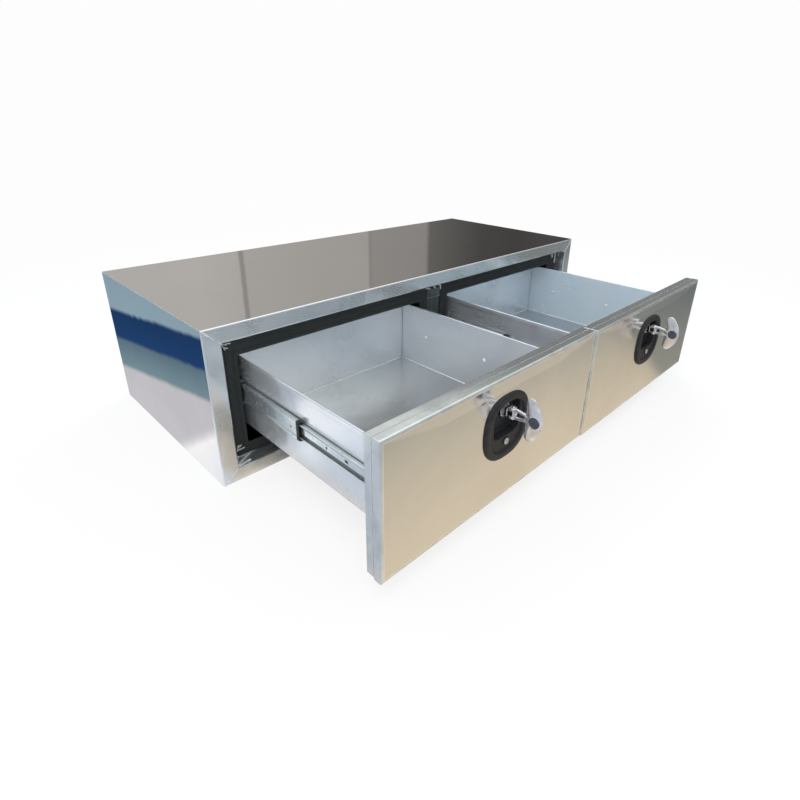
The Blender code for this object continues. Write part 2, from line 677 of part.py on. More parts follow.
def make_front(bay, hand, drawer):
    """Drawer front: an outer skin pan and a liner pan that close on each other."""
    near, far = sorted((hand * FRONT_INBOARD, hand * FRONT_OUTBOARD))
    seam = FACE_Y + SKIN_DEPTH
    name = bay + "_drawer_front_skin"
    skin = add_part(name, pan_mesh(name, (near, FACE_Y, FRONT_BOTTOM), (far, seam, FRONT_TOP), 1),
                    "polished_aluminium", drawer)
    add_solidify(skin)
    name = bay + "_drawer_front_liner"
    liner = add_part(name, pan_mesh(
        name, (near + LINER_INSET, seam + FIT, FRONT_BOTTOM + LINER_LIFT),
        (far - LINER_INSET, FRONT_BACK_Y, FRONT_TOP - LINER_INSET), -1), "mill_aluminium", drawer)
    add_solidify(liner)
    cup = rounded_rectangle(*cup_corners(hand * LOCK_X, DISH_WALL + FIT), RECESS_CORNER + DISH_WALL)
    cut = add_cutter(bay + "_cup_hole", outline_mesh(
        bay + "_cup_hole", [cup], FACE_Y - OVERRUN, FACE_Y + SHEET + OVERRUN, "Y"), drawer)
    apply_boolean(skin, cut)
    axis_x = hand * LOCK_X
    hole = add_cutter(bay + "_liner_hole", rod_mesh(
        bay + "_liner_hole", (axis_x, FRONT_BACK_Y - SHEET - OVERRUN, ROTOR_HEIGHT),
        (axis_x, FRONT_BACK_Y + OVERRUN, ROTOR_HEIGHT), JOURNAL_RADIUS + JOURNAL_CLEARANCE,
        ROUND_SIDES), drawer)
    apply_boolean(liner, hole)


def cup_corners(centre_x, wall):
    """Corners of the lock's cup, wall outside its recess."""
    reach = RECESS_WIDTH / 2 + wall
    return ((centre_x - reach, ROTOR_HEIGHT - RECESS_BELOW - wall),
            (centre_x + reach, ROTOR_HEIGHT + RECESS_ABOVE + wall))


def make_dish(bay, hand, drawer):
    """Lock dish: domed rim, shallow pocket, deep cup for the rotor, keeper boss."""
    centre = (hand * LOCK_X, DISH_CENTRE)
    half_width, half_height = DISH_WIDTH / 2, DISH_HEIGHT / 2
    name = bay + "_lock_dish"
    seat = FACE_Y - FIT
    dish = add_part(name, outline_mesh(name, [superellipse(centre, half_width, half_height)],
                                       FACE_Y - RIM_PROUD, seat, "Y"), "black_casting", drawer)
    add_bevel(dish, RIM_ROUNDING)
    pocket = superellipse(centre, half_width - RIM_WIDTH, half_height - RIM_WIDTH)
    apply_boolean(dish, add_cutter(name + "_pocket", outline_mesh(
        name + "_pocket", [pocket], FACE_Y - RIM_PROUD - OVERRUN, FACE_Y - POCKET_LEVEL, "Y"),
        drawer))
    cup = rounded_rectangle(*cup_corners(centre[0], DISH_WALL), RECESS_CORNER + DISH_WALL)
    apply_boolean(dish, add_cutter(name + "_cup", outline_mesh(
        name + "_cup", [cup], FACE_Y - POCKET_LEVEL + FIT, FACE_Y + RECESS_DEPTH + DISH_WALL, "Y"),
        drawer), "UNION")
    apply_boolean(dish, add_cutter(name + "_bore", rod_mesh(
        name + "_bore", (centre[0], FACE_Y + RECESS_DEPTH - OVERRUN, ROTOR_HEIGHT),
        (centre[0], FACE_Y + RECESS_DEPTH + DISH_WALL + OVERRUN, ROTOR_HEIGHT),
        JOURNAL_RADIUS + JOURNAL_CLEARANCE, ROUND_SIDES), drawer))
    recess = rounded_rectangle(*cup_corners(centre[0], 0), RECESS_CORNER)
    apply_boolean(dish, add_cutter(name + "_recess", outline_mesh(
        name + "_recess", [recess], FACE_Y - RIM_PROUD - OVERRUN, FACE_Y + RECESS_DEPTH, "Y"),
        drawer))
    keeper = (centre[0], FACE_Y - POCKET_LEVEL + FIT, KEEPER_CENTRE)
    keeper_top = (centre[0], FACE_Y - KEEPER_PROUD, KEEPER_CENTRE)
    apply_boolean(dish, add_cutter(name + "_keeper", rod_mesh(
        name + "_keeper", keeper, keeper_top, KEEPER_RADIUS, SMALL_ROUND_SIDES), drawer), "UNION")
    apply_boolean(dish, add_cutter(name + "_keeper_hole", rod_mesh(
        name + "_keeper_hole", (centre[0], keeper_top[1] + KEEPER_HOLE_DEPTH, KEEPER_CENTRE),
        (centre[0], keeper_top[1] - OVERRUN, KEEPER_CENTRE), KEEPER_HOLE_RADIUS,
        SMALL_ROUND_SIDES), drawer))


def make_clamp_plate(bay, hand, drawer):
    """Steel plate that clamps the dish through the drawer front from behind."""
    name = bay + "_lock_clamp_plate"
    centre_x, half = hand * LOCK_X, CLAMP_SIZE / 2
    start = FRONT_BACK_Y + FIT
    plate = rounded_rectangle((centre_x - half, ROTOR_HEIGHT - half),
                              (centre_x + half, ROTOR_HEIGHT + CLAMP_ABOVE), CLAMP_CORNER)
    bore = arc((centre_x, ROTOR_HEIGHT), JOURNAL_RADIUS + JOURNAL_CLEARANCE, 0, 2 * math.pi,
               ROUND_SIDES)[:-1]
    add_part(name, outline_mesh(name, [plate, bore], start, start + CLAMP_THICKNESS, "Y"),
             "zinc_steel", drawer)


def make_rotor(bay, turn):
    """Rotor about the lock's axis: hub, square block, hinge tongue, journal and spindle."""
    name = bay + "_lock_rotor"
    hub_back = RECESS_DEPTH - FIT
    rotor = add_part(name, rod_mesh(name, (0, HUB_FACE_DEPTH, 0), (0, hub_back, 0), HUB_RADIUS,
                                    ROUND_SIDES), "chrome", turn)
    journal_end = FRONT_BACK_Y - FACE_Y + FIT + CLAMP_THICKNESS
    apply_boolean(rotor, add_cutter(name + "_journal", rod_mesh(
        name + "_journal", (0, hub_back - OVERRUN, 0), (0, journal_end, 0), JOURNAL_RADIUS,
        ROUND_SIDES), turn), "UNION")
    half = SPINDLE_SQUARE / 2
    apply_boolean(rotor, add_cutter(name + "_square", box_mesh(
        name + "_square", (-half, journal_end - OVERRUN, -half), (half, SPINDLE_END, half)), turn),
        "UNION")
    root = HUB_FACE_DEPTH + OVERRUN
    half = BLOCK_SIZE / 2
    apply_boolean(rotor, add_cutter(name + "_block", box_mesh(
        name + "_block", (-half, -BLOCK_PROUD, -half), (half, root, half)), turn), "UNION")
    tongue = arc((-PIN_PROUD, 0), TONGUE_RADIUS, QUARTER_TURN, 3 * QUARTER_TURN, SMALL_ROUND_SIDES)
    tongue += [(root, -TONGUE_RADIUS), (root, TONGUE_RADIUS)]
    apply_boolean(rotor, add_cutter(name + "_tongue", outline_mesh(
        name + "_tongue", [tongue], -TONGUE_THICKNESS / 2, TONGUE_THICKNESS / 2, "X"), turn),
        "UNION")
    apply_boolean(rotor, add_cutter(name + "_pin_hole", pin_mesh(
        name + "_pin_hole", PIN_RADIUS + PIN_CLEARANCE, FORK_OUTER + OVERRUN), turn))


def pin_mesh(name, radius, half_length):
    """A rod on the handle's hinge axis."""
    return rod_mesh(name, (-half_length, -PIN_PROUD, 0), (half_length, -PIN_PROUD, 0), radius,
                    SMALL_ROUND_SIDES)


def make_pawl(bay, turn):
    """Pawl on the square spindle, up when the lock is latched, with its nut."""
    name = bay + "_lock_pawl"
    start = FRONT_BACK_Y - FACE_Y + 2 * FIT + CLAMP_THICKNESS
    arm_end = PAWL_DEPTH + PAWL_THICKNESS
    half = PAWL_WIDTH / 2
    arm = arc((0, PAWL_LENGTH - half), half, 0, math.pi, SMALL_ROUND_SIDES)
    arm += arc((0, 0), half, math.pi, 2 * math.pi, SMALL_ROUND_SIDES)
    pawl = add_part(name, outline_mesh(name, [arm], PAWL_DEPTH, arm_end, "Y"), "zinc_steel", turn)
    apply_boolean(pawl, add_cutter(name + "_boss", rod_mesh(
        name + "_boss", (0, start, 0), (0, arm_end - FIT, 0), PAWL_BOSS_RADIUS, ROUND_SIDES),
        turn), "UNION")
    apply_boolean(pawl, add_cutter(name + "_nut", rod_mesh(
        name + "_nut", (0, PAWL_DEPTH + FIT, 0), (0, arm_end + PAWL_NUT_HEIGHT, 0),
        PAWL_NUT_RADIUS, 6), turn), "UNION")
    socket = SPINDLE_SQUARE / 2 + SPINDLE_CLEARANCE
    apply_boolean(pawl, add_cutter(name + "_socket", box_mesh(
        name + "_socket", (-socket, start - OVERRUN, -socket),
        (socket, SPINDLE_END + SPINDLE_CLEARANCE, socket)), turn))


def tail_outline():
    """Whale-tail bar: a shallow arc outside, a chord inside, round tips."""
    centre_y = -TAIL_OUTER + TAIL_RADIUS
    tip_y = -TAIL_INNER - TAIL_TIP_RADIUS
    reach = TAIL_RADIUS - TAIL_TIP_RADIUS
    tip_x = math.sqrt(reach ** 2 - (centre_y - tip_y) ** 2)
    lean = math.atan2(tip_y - centre_y, tip_x)
    right = arc((tip_x, tip_y), TAIL_TIP_RADIUS, QUARTER_TURN, lean, CORNER_STEPS)
    outer = arc((0, centre_y), TAIL_RADIUS, lean, -math.pi - lean, TAIL_STEPS)
    left = arc((-tip_x, tip_y), TAIL_TIP_RADIUS, math.pi - lean, QUARTER_TURN, CORNER_STEPS)
    return right + outer[1:-1] + left


def make_handle(bay, fold):
    """Folding T-handle, modelled folded out with its face up: whale tail and forked stem."""
    name = bay + "_lock_handle"
    half = HANDLE_THICKNESS / 2
    outline = [(x, y + PIN_PROUD) for x, y in tail_outline()]
    handle = add_part(name, outline_mesh(name, [outline], -half, half, "Z"), "chrome", fold)
    add_bevel(handle, TAIL_ROUNDING, BEVEL_STEPS - 1)
    neck = PIN_PROUD - TAIL_INNER - OVERRUN
    for hand, side in ((-1, "left"), (1, "right")):
        low, high = sorted((hand * FORK_INNER, hand * FORK_OUTER))
        arm = arc((0, 0), TONGUE_RADIUS, QUARTER_TURN, -QUARTER_TURN, SMALL_ROUND_SIDES)
        arm += [(neck, -half), (neck, half)]
        apply_boolean(handle, add_cutter(f"{name}_{side}_arm", outline_mesh(
            f"{name}_{side}_arm", [arm], low, high, "X"), fold), "UNION")
    bridge_top = PIN_PROUD - TAIL_INNER + 2 * OVERRUN
    apply_boolean(handle, add_cutter(name + "_bridge", box_mesh(
        name + "_bridge", (-FORK_OUTER + FIT, neck - OVERRUN, -half + FIT),
        (FORK_OUTER - FIT, bridge_top, half - FIT)), fold), "UNION")
    apply_boolean(handle, add_cutter(name + "_pin_hole", rod_mesh(
        name + "_pin_hole", (-FORK_OUTER - OVERRUN, 0, 0), (FORK_OUTER + OVERRUN, 0, 0),
        PIN_RADIUS + PIN_CLEARANCE, SMALL_ROUND_SIDES), fold))
    barrel_y = PIN_PROUD - BARREL_CENTRE
    apply_boolean(handle, add_cutter(name + "_barrel_hole", rod_mesh(
        name + "_barrel_hole", (0, barrel_y, -half - OVERRUN), (0, barrel_y, half + OVERRUN),
        BARREL_RADIUS + BARREL_CLEARANCE, ROUND_SIDES), fold))


def make_key_barrel(bay, key):
    """Key barrel in the middle of the tail, with a plain keyway."""
    name = bay + "_lock_key_barrel"
    half = HANDLE_THICKNESS / 2
    barrel = add_part(name, rod_mesh(name, (0, 0, -half + BARREL_RECESS),
                                     (0, 0, half + BARREL_PROUD), BARREL_RADIUS, ROUND_SIDES),
                      "dark_barrel", key)
    slot = (KEYWAY_LENGTH / 2, KEYWAY_WIDTH / 2)
    apply_boolean(barrel, add_cutter(name + "_keyway", box_mesh(
        name + "_keyway", (-slot[0], -slot[1], half + BARREL_PROUD - KEYWAY_DEPTH),
        (slot[0], slot[1], half + BARREL_PROUD + OVERRUN)), key))


def make_lock(bay, hand, drawer):
    """The whole lock of one drawer, folded out and turned a quarter to unlatch."""
    make_dish(bay, hand, drawer)
    make_clamp_plate(bay, hand, drawer)
    turn = add_empty(bay + "_lock_turn", (hand * LOCK_X, FACE_Y, ROTOR_HEIGHT),
                     (0, -QUARTER_TURN, 0), drawer)
    make_rotor(bay, turn)
    make_pawl(bay, turn)
    name = bay + "_lock_hinge_pin"
    add_part(name, pin_mesh(name, PIN_RADIUS, FORK_OUTER), "chrome", turn)
    fold = add_empty(bay + "_handle_fold", (0, -PIN_PROUD, 0), parent=turn)
    make_handle(bay, fold)
    key = add_empty(bay + "_key_turn", (0, PIN_PROUD - BARREL_CENTRE, 0), parent=fold)
    make_key_barrel(bay, key)


def make_bay(bay, hand, extension):
    """One drawer with its seal, slides, tray, front and lock."""
    make_seal(bay, hand)
    drawer = add_empty(bay + "_drawer_slide", (0, -extension, 0))
    middle = add_empty(bay + "_middle_slide", (0, -extension * MIDDLE_RATIO_SHARE, 0))
    outer_cage = add_empty(bay + "_outer_cage_slide", (0, -extension * OUTER_CAGE_RATIO_SHARE, 0))
    inner_cage = add_empty(bay + "_inner_cage_slide", (0, -extension * INNER_CAGE_RATIO_SHARE, 0))
    carriers = (drawer, middle, outer_cage, inner_cage)
    walls = make_tray(bay, hand, drawer)
    for side, plane, sign in (("outboard", hand * OUTBOARD_PLANE, -hand),
                              ("inboard", hand * INBOARD_PLANE, hand)):
        member = make_slide(bay, side, plane, sign, carriers)
        add_screws(bay, side, plane, sign, member, walls[side], drawer)
    make_front(bay, hand, drawer)
    make_lock(bay, hand, drawer)


make_cabinet()
for bay_name, (bay_hand, bay_extension) in BAYS.items():
    make_bay(bay_name, bay_hand, bay_extension)
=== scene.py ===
"""Dressed drawer unit: folded aluminium cabinet, ball slides, rubber seals, folding locks.

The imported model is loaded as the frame, and the sheet metal, seals, slides and locks
are rebuilt round it as rounded surfaces with their finishes.  Everything is in metres
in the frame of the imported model: +X to the right, fronts face -Y, +Z up.
"""
from __future__ import annotations

import logging
import math
from dataclasses import dataclass, field, replace
from enum import Enum

import bmesh
import bpy
import numpy as np
from mathutils import Matrix, Vector


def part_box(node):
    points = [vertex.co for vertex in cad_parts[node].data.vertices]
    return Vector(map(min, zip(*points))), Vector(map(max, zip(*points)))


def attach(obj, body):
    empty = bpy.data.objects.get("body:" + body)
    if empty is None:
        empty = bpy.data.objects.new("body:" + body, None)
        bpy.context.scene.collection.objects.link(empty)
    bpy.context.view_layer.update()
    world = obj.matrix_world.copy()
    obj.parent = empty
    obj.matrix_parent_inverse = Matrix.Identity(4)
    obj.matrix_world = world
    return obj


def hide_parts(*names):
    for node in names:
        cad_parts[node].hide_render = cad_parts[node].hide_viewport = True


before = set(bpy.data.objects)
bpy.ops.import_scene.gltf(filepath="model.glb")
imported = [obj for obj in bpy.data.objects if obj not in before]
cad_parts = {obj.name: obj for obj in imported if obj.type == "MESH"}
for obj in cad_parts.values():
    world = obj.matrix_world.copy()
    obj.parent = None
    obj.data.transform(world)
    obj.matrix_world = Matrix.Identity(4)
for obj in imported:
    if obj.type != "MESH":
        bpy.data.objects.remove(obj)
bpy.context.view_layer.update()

LOG = logging.getLogger("drawer_unit")

Grid = np.ndarray
Pair = tuple[float, float]
Triple = tuple[float, float, float]
Socket = bpy.types.NodeSocket

# Sheet, folds, fits and weld beads
SHEET = 0.002
FOLD = 0.0008
FOLD_STEPS = 5
PANEL_COLUMNS = 9
FIT = 0.0003
BEAD_PITCH = 0.0022
CRUMB_PITCH = 0.0018
WELD_DISTANCE = 0.000004
SMOOTH = math.radians(38)
QUARTER = math.pi / 2


class Hand(Enum):
    """Which of the two bays a piece belongs to."""

    LEFT = -1
    RIGHT = 1

    @property
    def word(self) -> str:
        """The bay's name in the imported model."""
        return self.name.lower()


class Side(Enum):
    """Which side of a drawer a slide or a wall is on."""

    OUTBOARD = "outboard"
    INBOARD = "inboard"


class Run(Enum):
    """The direction that a sheet was rolled or brushed in."""

    ACROSS = (0.02, 1.0, 1.0)
    BACK = (1.0, 0.02, 1.0)
    UP = (1.0, 1.0, 0.02)


# Flat lines and grids


def mm(*rows: tuple[float, ...]) -> Grid:
    """Rows given in millimetres, in metres."""
    return np.array(rows, float) / 1000


def unit(vectors: Grid) -> Grid:
    """Vectors at length one."""
    return vectors / np.linalg.norm(vectors, axis=-1, keepdims=True)


def compass(turn: Grid) -> Grid:
    """Flat vectors of length one at the given angles."""
    return np.stack([np.cos(turn), np.sin(turn)], -1)


def full_turn(count: int) -> Grid:
    """Angles that share out a full turn."""
    return np.linspace(0, 2 * math.pi, count, endpoint=False)


def bend(points: Grid, radii: Grid | float, closed: bool = False,
         steps: int = FOLD_STEPS) -> tuple[Grid, Grid]:
    """Round the corners of a flat line.

    Each corner becomes an arc that touches both of its legs: its centre lies on the inner
    side, a radius off the legs, and its points turn about that centre.  Places and directions
    are complex numbers here.

    Args:
        points: The line's corners, (N, 2).
        radii: Radius of each corner that is rounded.
        closed: Whether the line closes on itself.
        steps: Chords in each arc.

    Returns:
        The rounded line and its left-hand normals.
    """
    place = np.asarray(points, float) @ (1, 1j)
    corner = place if closed else place[1:-1]
    into = corner - (np.roll(place, 1) if closed else place[:-2])
    out = (np.roll(place, -1) if closed else place[2:]) - corner
    into = into / abs(into)
    turn = np.angle(out / into)
    reach = radii * np.sign(turn)
    centre = corner + into * reach * (1j - np.tan(turn / 2))
    normals = 1j * into[:, None] * np.exp(1j * turn[:, None] * np.linspace(0, 1, steps + 1))
    line, normals = (centre[:, None] - normals * reach[:, None]).ravel(), normals.ravel()
    if not closed:
        line = np.concatenate([place[:1], line, place[-1:]])
        normals = np.concatenate([normals[:1], normals, normals[-1:]])
    return np.stack([line.real, line.imag], 1), np.stack([normals.real, normals.imag], 1)


def sheet_section(points: Grid, side: int, fold: float = FOLD,
                  thickness: float = SHEET) -> tuple[Grid, Grid]:
    """Both faces of a folded sheet, in section.

    The first face follows the line with rounded folds, and the second lies one thickness off
    it, so a fold is wider on its outside by that thickness.

    Args:
        points: Corners of the first face.
        side: 1 if the sheet lies on the line's left, -1 on its right.
        fold: Radius on the inside of each fold.
        thickness: Thickness of the sheet.

    Returns:
        The first and the second face, with as many points each.
    """
    legs = np.diff(points, axis=0)
    turn = np.sign(legs[:-1, 0] * legs[1:, 1] - legs[:-1, 1] * legs[1:, 0])
    line, normals = bend(points, np.where(turn == side, fold + thickness, fold))
    return line, line + normals * side * thickness


def rectangle_ring(centre: Pair, half: Pair, radius: float, steps: int = 6) -> Grid:
    """A closed rectangle with round corners, with as many points whatever its size."""
    corners = np.add(centre, np.array([(1, -1), (1, 1), (-1, 1), (-1, -1)]) * half)
    return bend(corners, radius, True, steps)[0]


def nested_rings(centre: Pair, half: Pair, insets: Grid, radii: Grid | float,
                 steps: int = 6) -> Grid:
    """Round rectangles drawn in from one size.

    Args:
        centre: The middle of them all.
        half: Half the outermost size.
        insets: How far each ring is drawn in.
        radii: Radius of the corners, of each ring or of all.
        steps: Chords in each corner.

    Returns:
        Points of a ring by rings, (U, V, 2).
    """
    radii = np.broadcast_to(radii, len(insets))
    return np.stack([rectangle_ring(centre, np.subtract(half, inset), radius, steps)
                     for inset, radius in zip(insets, radii)], 1)


def middle(box: tuple[Vector, Vector], plane: str) -> tuple[Grid, Grid]:
    """Centre and half size of a box, as seen in a plane."""
    low, high = [np.array([corner["XYZ".index(axis)] for axis in plane]) for corner in box]
    return (low + high) / 2, (high - low) / 2


def superellipse(centre: Pair, half: Pair, power: float, count: int = 128) -> Grid:
    """A circle pushed towards a rectangle: each of cosine and sine to the power 2/power."""
    wave = compass(full_turn(count))
    return centre + np.sign(wave) * np.abs(wave) ** (2 / power) * half


def arc(centre: Pair, radius: float, start: float, end: float, steps: int) -> Grid:
    """Points along an arc, both ends included."""
    return centre + radius * compass(np.linspace(start, end, steps + 1))


def smoothed(points: Grid, rounds: int = 2) -> Grid:
    """A closed line with its corners cut at a quarter and three quarters, again and again.

    Args:
        points: The closed line, (N, 2).
        rounds: How often its corners are cut.

    Returns:
        The smoothed line; each round doubles its points.
    """
    for _ in range(rounds):
        after = np.roll(points, -1, 0)
        points = np.stack([0.75 * points + 0.25 * after, 0.25 * points + 0.75 * after], 1)
        points = points.reshape(-1, 2)
    return points


def ring_normals(ring: Grid) -> Grid:
    """Outward normals of a closed line that runs anticlockwise."""
    along = unit(np.roll(ring, -1, 0) - np.roll(ring, 1, 0))
    return np.stack([along[:, 1], -along[:, 0]], 1)


def lift(flat: Grid, plane: str, depth: Grid | float) -> Grid:
    """Flat points put in space: plane names the axes of the two values, depth the third.

    Args:
        flat: Flat places, (..., 2).
        plane: Names of the two axes that they lie along.
        depth: Place along the third axis, which may have more directions than flat.

    Returns:
        Places in space, (..., 3).
    """
    out = np.empty(np.broadcast_shapes(flat[..., 0].shape, np.shape(depth)) + (3,))
    axes = ["XYZ".index(name) for name in plane]
    out[..., axes[0]], out[..., axes[1]] = flat[..., 0], flat[..., 1]
    out[..., 3 - sum(axes)] = depth
    return out


# Meshes and pieces


@dataclass
class Patch:
    """A grid of points in space.

    Attributes:
        points: (U, V, 3).
        around: The first direction closes on itself.
        along: The second direction closes on itself.
        caps: The first and last loops of the second direction are filled.
    """

    points: Grid
    around: bool = False
    along: bool = False
    caps: bool = False

    def faces(self, offset: int) -> list[list[int]]:
        """Four-sided faces between neighbours, and the two caps.

        Args:
            offset: Number of the patch's first point in the whole mesh.

        Returns:
            Point numbers of each face.
        """
        rows, cols = self.points.shape[:2]
        index = offset + np.arange(rows * cols).reshape(rows, cols)
        first = index if self.around else index[:-1]
        second = np.roll(index, -1, 0)[:len(first)]
        width = cols if self.along else cols - 1
        quads = np.stack([first[:, :width], np.roll(first, -1, 1)[:, :width],
                          np.roll(second, -1, 1)[:, :width], second[:, :width]], -1)
        found = quads.reshape(-1, 4).tolist()
        if self.caps:
            found += [index[:, 0].tolist(), index[::-1, -1].tolist()]
        return found


def bar(points: Grid) -> list[Patch]:
    """Rings along a path, with both ends filled."""
    return [Patch(points, around=True, caps=True)]


def hoop(points: Grid) -> list[Patch]:
    """Rings that close on the first one."""
    return [Patch(points, around=True, along=True)]


def slab(first: Grid, second: Grid) -> list[Patch]:
    """A sheet between two grids of the same size: its faces and its four edges.

    Args:
        first: One face, (U, V, 3).
        second: The other face.

    Returns:
        The two faces and the four edges between them.
    """
    edges = [(first[:, :1], second[:, :1]), (first[:, -1:], second[:, -1:])]
    rims = [np.concatenate(pair, 1) for pair in edges]
    rims += [np.stack([first[row], second[row]], 1) for row in (0, -1)]
    return [Patch(grid) for grid in [first, second, *rims]]


def lathe(profile: Grid, centre: Triple, axis: str, count: int) -> list[Patch]:
    """A profile of (radius, height) turned about an axis through a point."""
    flat = compass(full_turn(count))[:, None] * profile[:, :1]
    return bar(lift(flat, "XYZ".replace(axis, ""), profile[:, 1]) + centre)


def plate(outline: Grid, plane: str, low: float, high: float, radius: float,
          steps: int = 4) -> list[Patch]:
    """A flat outline given a thickness and round edges.

    Each ring is the outline drawn in by the radius times one minus the cosine, at a height
    that goes with the sine, first round the lower and then round the upper edge.

    Args:
        outline: Closed line that runs anticlockwise, (N, 2).
        plane: Names of the axes that it lies along.
        low: Where the plate starts along the third axis.
        high: Where it ends.
        radius: Radius of its edges.
        steps: Chords in each round.

    Returns:
        One closed patch.
    """
    turn = np.linspace(-QUARTER, 0, steps + 1)
    inset, height = radius * (1 - np.cos(turn)), radius * (1 + np.sin(turn))
    insets = np.concatenate([inset, inset[::-1]])
    heights = np.concatenate([low + height, high - height[::-1]])
    rings = outline[:, None] - ring_normals(outline)[:, None] * insets[:, None]
    return bar(lift(rings, plane, heights))


def tube(path: Grid, radius: Grid | float, count: int, flat: float = 1.0) -> list[Patch]:
    """A bar along a path; its rings stand square to the path.

    Args:
        path: Centre points, (M, 3).
        radius: Radius at each point, or all along.
        count: Sides.
        flat: Share of the radius that is kept up the ring's second axis.

    Returns:
        One closed patch.
    """
    along = unit(np.gradient(path, axis=0))
    across = unit(np.cross(along, (0, 0, 1) if abs(along[0, 2]) < 0.9 else (0, 1, 0)))
    up = np.cross(across, along)
    turn = full_turn(count)[:, None, None]
    radius = np.broadcast_to(radius, len(path))[:, None]
    return bar(path + radius * (across * np.cos(turn) + up * flat * np.sin(turn)))


def weld_bead(start: Triple, end: Triple, radius: float, seed: int,
              pitch: float = BEAD_PITCH) -> list[Patch]:
    """A weld bead: a bar whose radius rises and falls with each puddle.

    The radius is multiplied by a random wobble, by a puddle wave that is the absolute sine of
    the way along, and by a root that closes both ends.

    Args:
        start: Where the bead starts.
        end: Where it ends.
        radius: Its radius before the wobble.
        seed: Seed of its random draws.
        pitch: Distance from one puddle to the next.

    Returns:
        One closed patch.
    """
    start, end = np.asarray(start, float), np.asarray(end, float)
    length = np.linalg.norm(end - start)
    t = np.linspace(0, 1, max(int(length / pitch) * 4, 8))
    random = np.random.default_rng(seed)
    wobble = np.interp(t, np.linspace(0, 1, 9), random.uniform(0.8, 1.2, 9))
    puddle = 0.86 + 0.14 * np.abs(np.sin(t * length / pitch * math.pi))
    ends = np.sqrt(np.clip(1 - np.abs(2 * t - 1) ** 8, 0.05, 1))
    path = start + (end - start) * t[:, None]
    path += random.normal(0, radius * 0.05, path.shape)
    return tube(path, radius * wobble * puddle * ends, 10)


def moved(patches: list[Patch], matrix: Matrix) -> list[Patch]:
    """The same patches, turned and shifted by a matrix."""
    turn, shift = np.array(matrix.to_3x3()), np.array(matrix.translation)
    return [replace(patch, points=patch.points @ turn.T + shift) for patch in patches]


def mesh_of(name: str, patches: list[Patch]) -> bpy.types.Mesh:
    """Join patches into one closed mesh whose faces point outwards.

    Args:
        name: The mesh's name.
        patches: Its surfaces, which meet edge to edge.

    Returns:
        The mesh, with its doubles merged.
    """
    verts, faces, offset = [], [], 0
    for patch in patches:
        verts.append(patch.points.reshape(-1, 3))
        faces += patch.faces(offset)
        offset += len(verts[-1])
    mesh = bpy.data.meshes.new(name)
    mesh.from_pydata(np.vstack(verts).tolist(), [], faces)
    work = bmesh.new()
    work.from_mesh(mesh)
    bmesh.ops.remove_doubles(work, verts=work.verts, dist=WELD_DISTANCE)
    bmesh.ops.dissolve_degenerate(work, edges=work.edges, dist=WELD_DISTANCE)
    bmesh.ops.recalc_face_normals(work, faces=work.faces)
    work.to_mesh(mesh)
    work.free()
    return mesh


def linked(name: str, data: bpy.types.ID) -> bpy.types.Object:
    """A new object in the scene.

    Args:
        name: The object's name.
        data: Its mesh, lamp or camera.

    Returns:
        The object.
    """
    obj = bpy.data.objects.new(name, data)
    bpy.context.scene.collection.objects.link(obj)
    return obj


def round_edges(obj: bpy.types.Object, width: float) -> None:
    """Put a small round on an object's sharp edges.

    Args:
        obj: The object.
        width: Width of the round.
    """
    rounding = obj.modifiers.new("edge_round", "BEVEL")
    rounding.width = width
    rounding.segments = 2
    rounding.limit_method = "ANGLE"
    rounding.angle_limit = SMOOTH


@dataclass
class Piece:
    """One finished piece of the object.

    Attributes:
        name: Its name in the scene.
        patches: Its surfaces.
        finish: What it is made of.
        body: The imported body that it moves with.
        stands_for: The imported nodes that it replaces.
        edge: Width of the small round on its sharp edges, or nought.
        cuts: Closed forms that are cut out of it.
    """

    name: str
    patches: list[Patch]
    finish: Finish
    body: str
    stands_for: tuple[str, ...] = ()
    edge: float = 0.0
    cuts: list[Patch] = field(default_factory=list)

    def place(self) -> None:
        """Make the object, dress it and hang it on its body."""
        mesh = mesh_of(self.name, self.patches)
        if self.cuts:
            mesh = self._cut(mesh)
        mesh.name = self.name
        mesh.shade_smooth()
        mesh.set_sharp_from_angle(angle=SMOOTH)
        obj = linked(self.name, mesh)
        mesh.materials.clear()
        mesh.materials.append(self.finish.material())
        if self.edge:
            round_edges(obj, self.edge)
        evened = obj.modifiers.new("even_normals", "WEIGHTED_NORMAL")
        evened.keep_sharp = True
        evened.weight = 80
        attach(obj, self.body)
        if self.stands_for:
            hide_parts(*self.stands_for)
        LOG.info("%s: %d faces on %s", self.name, len(mesh.polygons), self.body)

    def _cut(self, mesh: bpy.types.Mesh) -> bpy.types.Mesh:
        """The mesh with its cuts taken out, as a mesh of its own.

        Args:
            mesh: The mesh of the whole piece.

        Returns:
            What is left of it.
        """
        whole, tool = linked("whole", mesh), linked("tool", mesh_of("tool", self.cuts))
        modifier = whole.modifiers.new("cut", "BOOLEAN")
        modifier.object = tool
        modifier.solver = "EXACT"
        modifier.use_self = True
        graph = bpy.context.evaluated_depsgraph_get()
        result = bpy.data.meshes.new_from_object(whole.evaluated_get(graph))
        for obj in (whole, tool):
            bpy.data.objects.remove(obj, do_unlink=True)
        return result


def dress_node(node: str, finish: Finish) -> None:
    """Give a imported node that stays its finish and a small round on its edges.

    Args:
        node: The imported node's name.
        finish: What it is made of.
    """
    obj = bpy.data.objects[node]
    obj.data.materials.clear()
    obj.data.materials.append(finish.material())
    merge = obj.modifiers.new("merge", "WELD")
    merge.merge_threshold = 0.00001
    round_edges(obj, 0.0004)


# Finishes


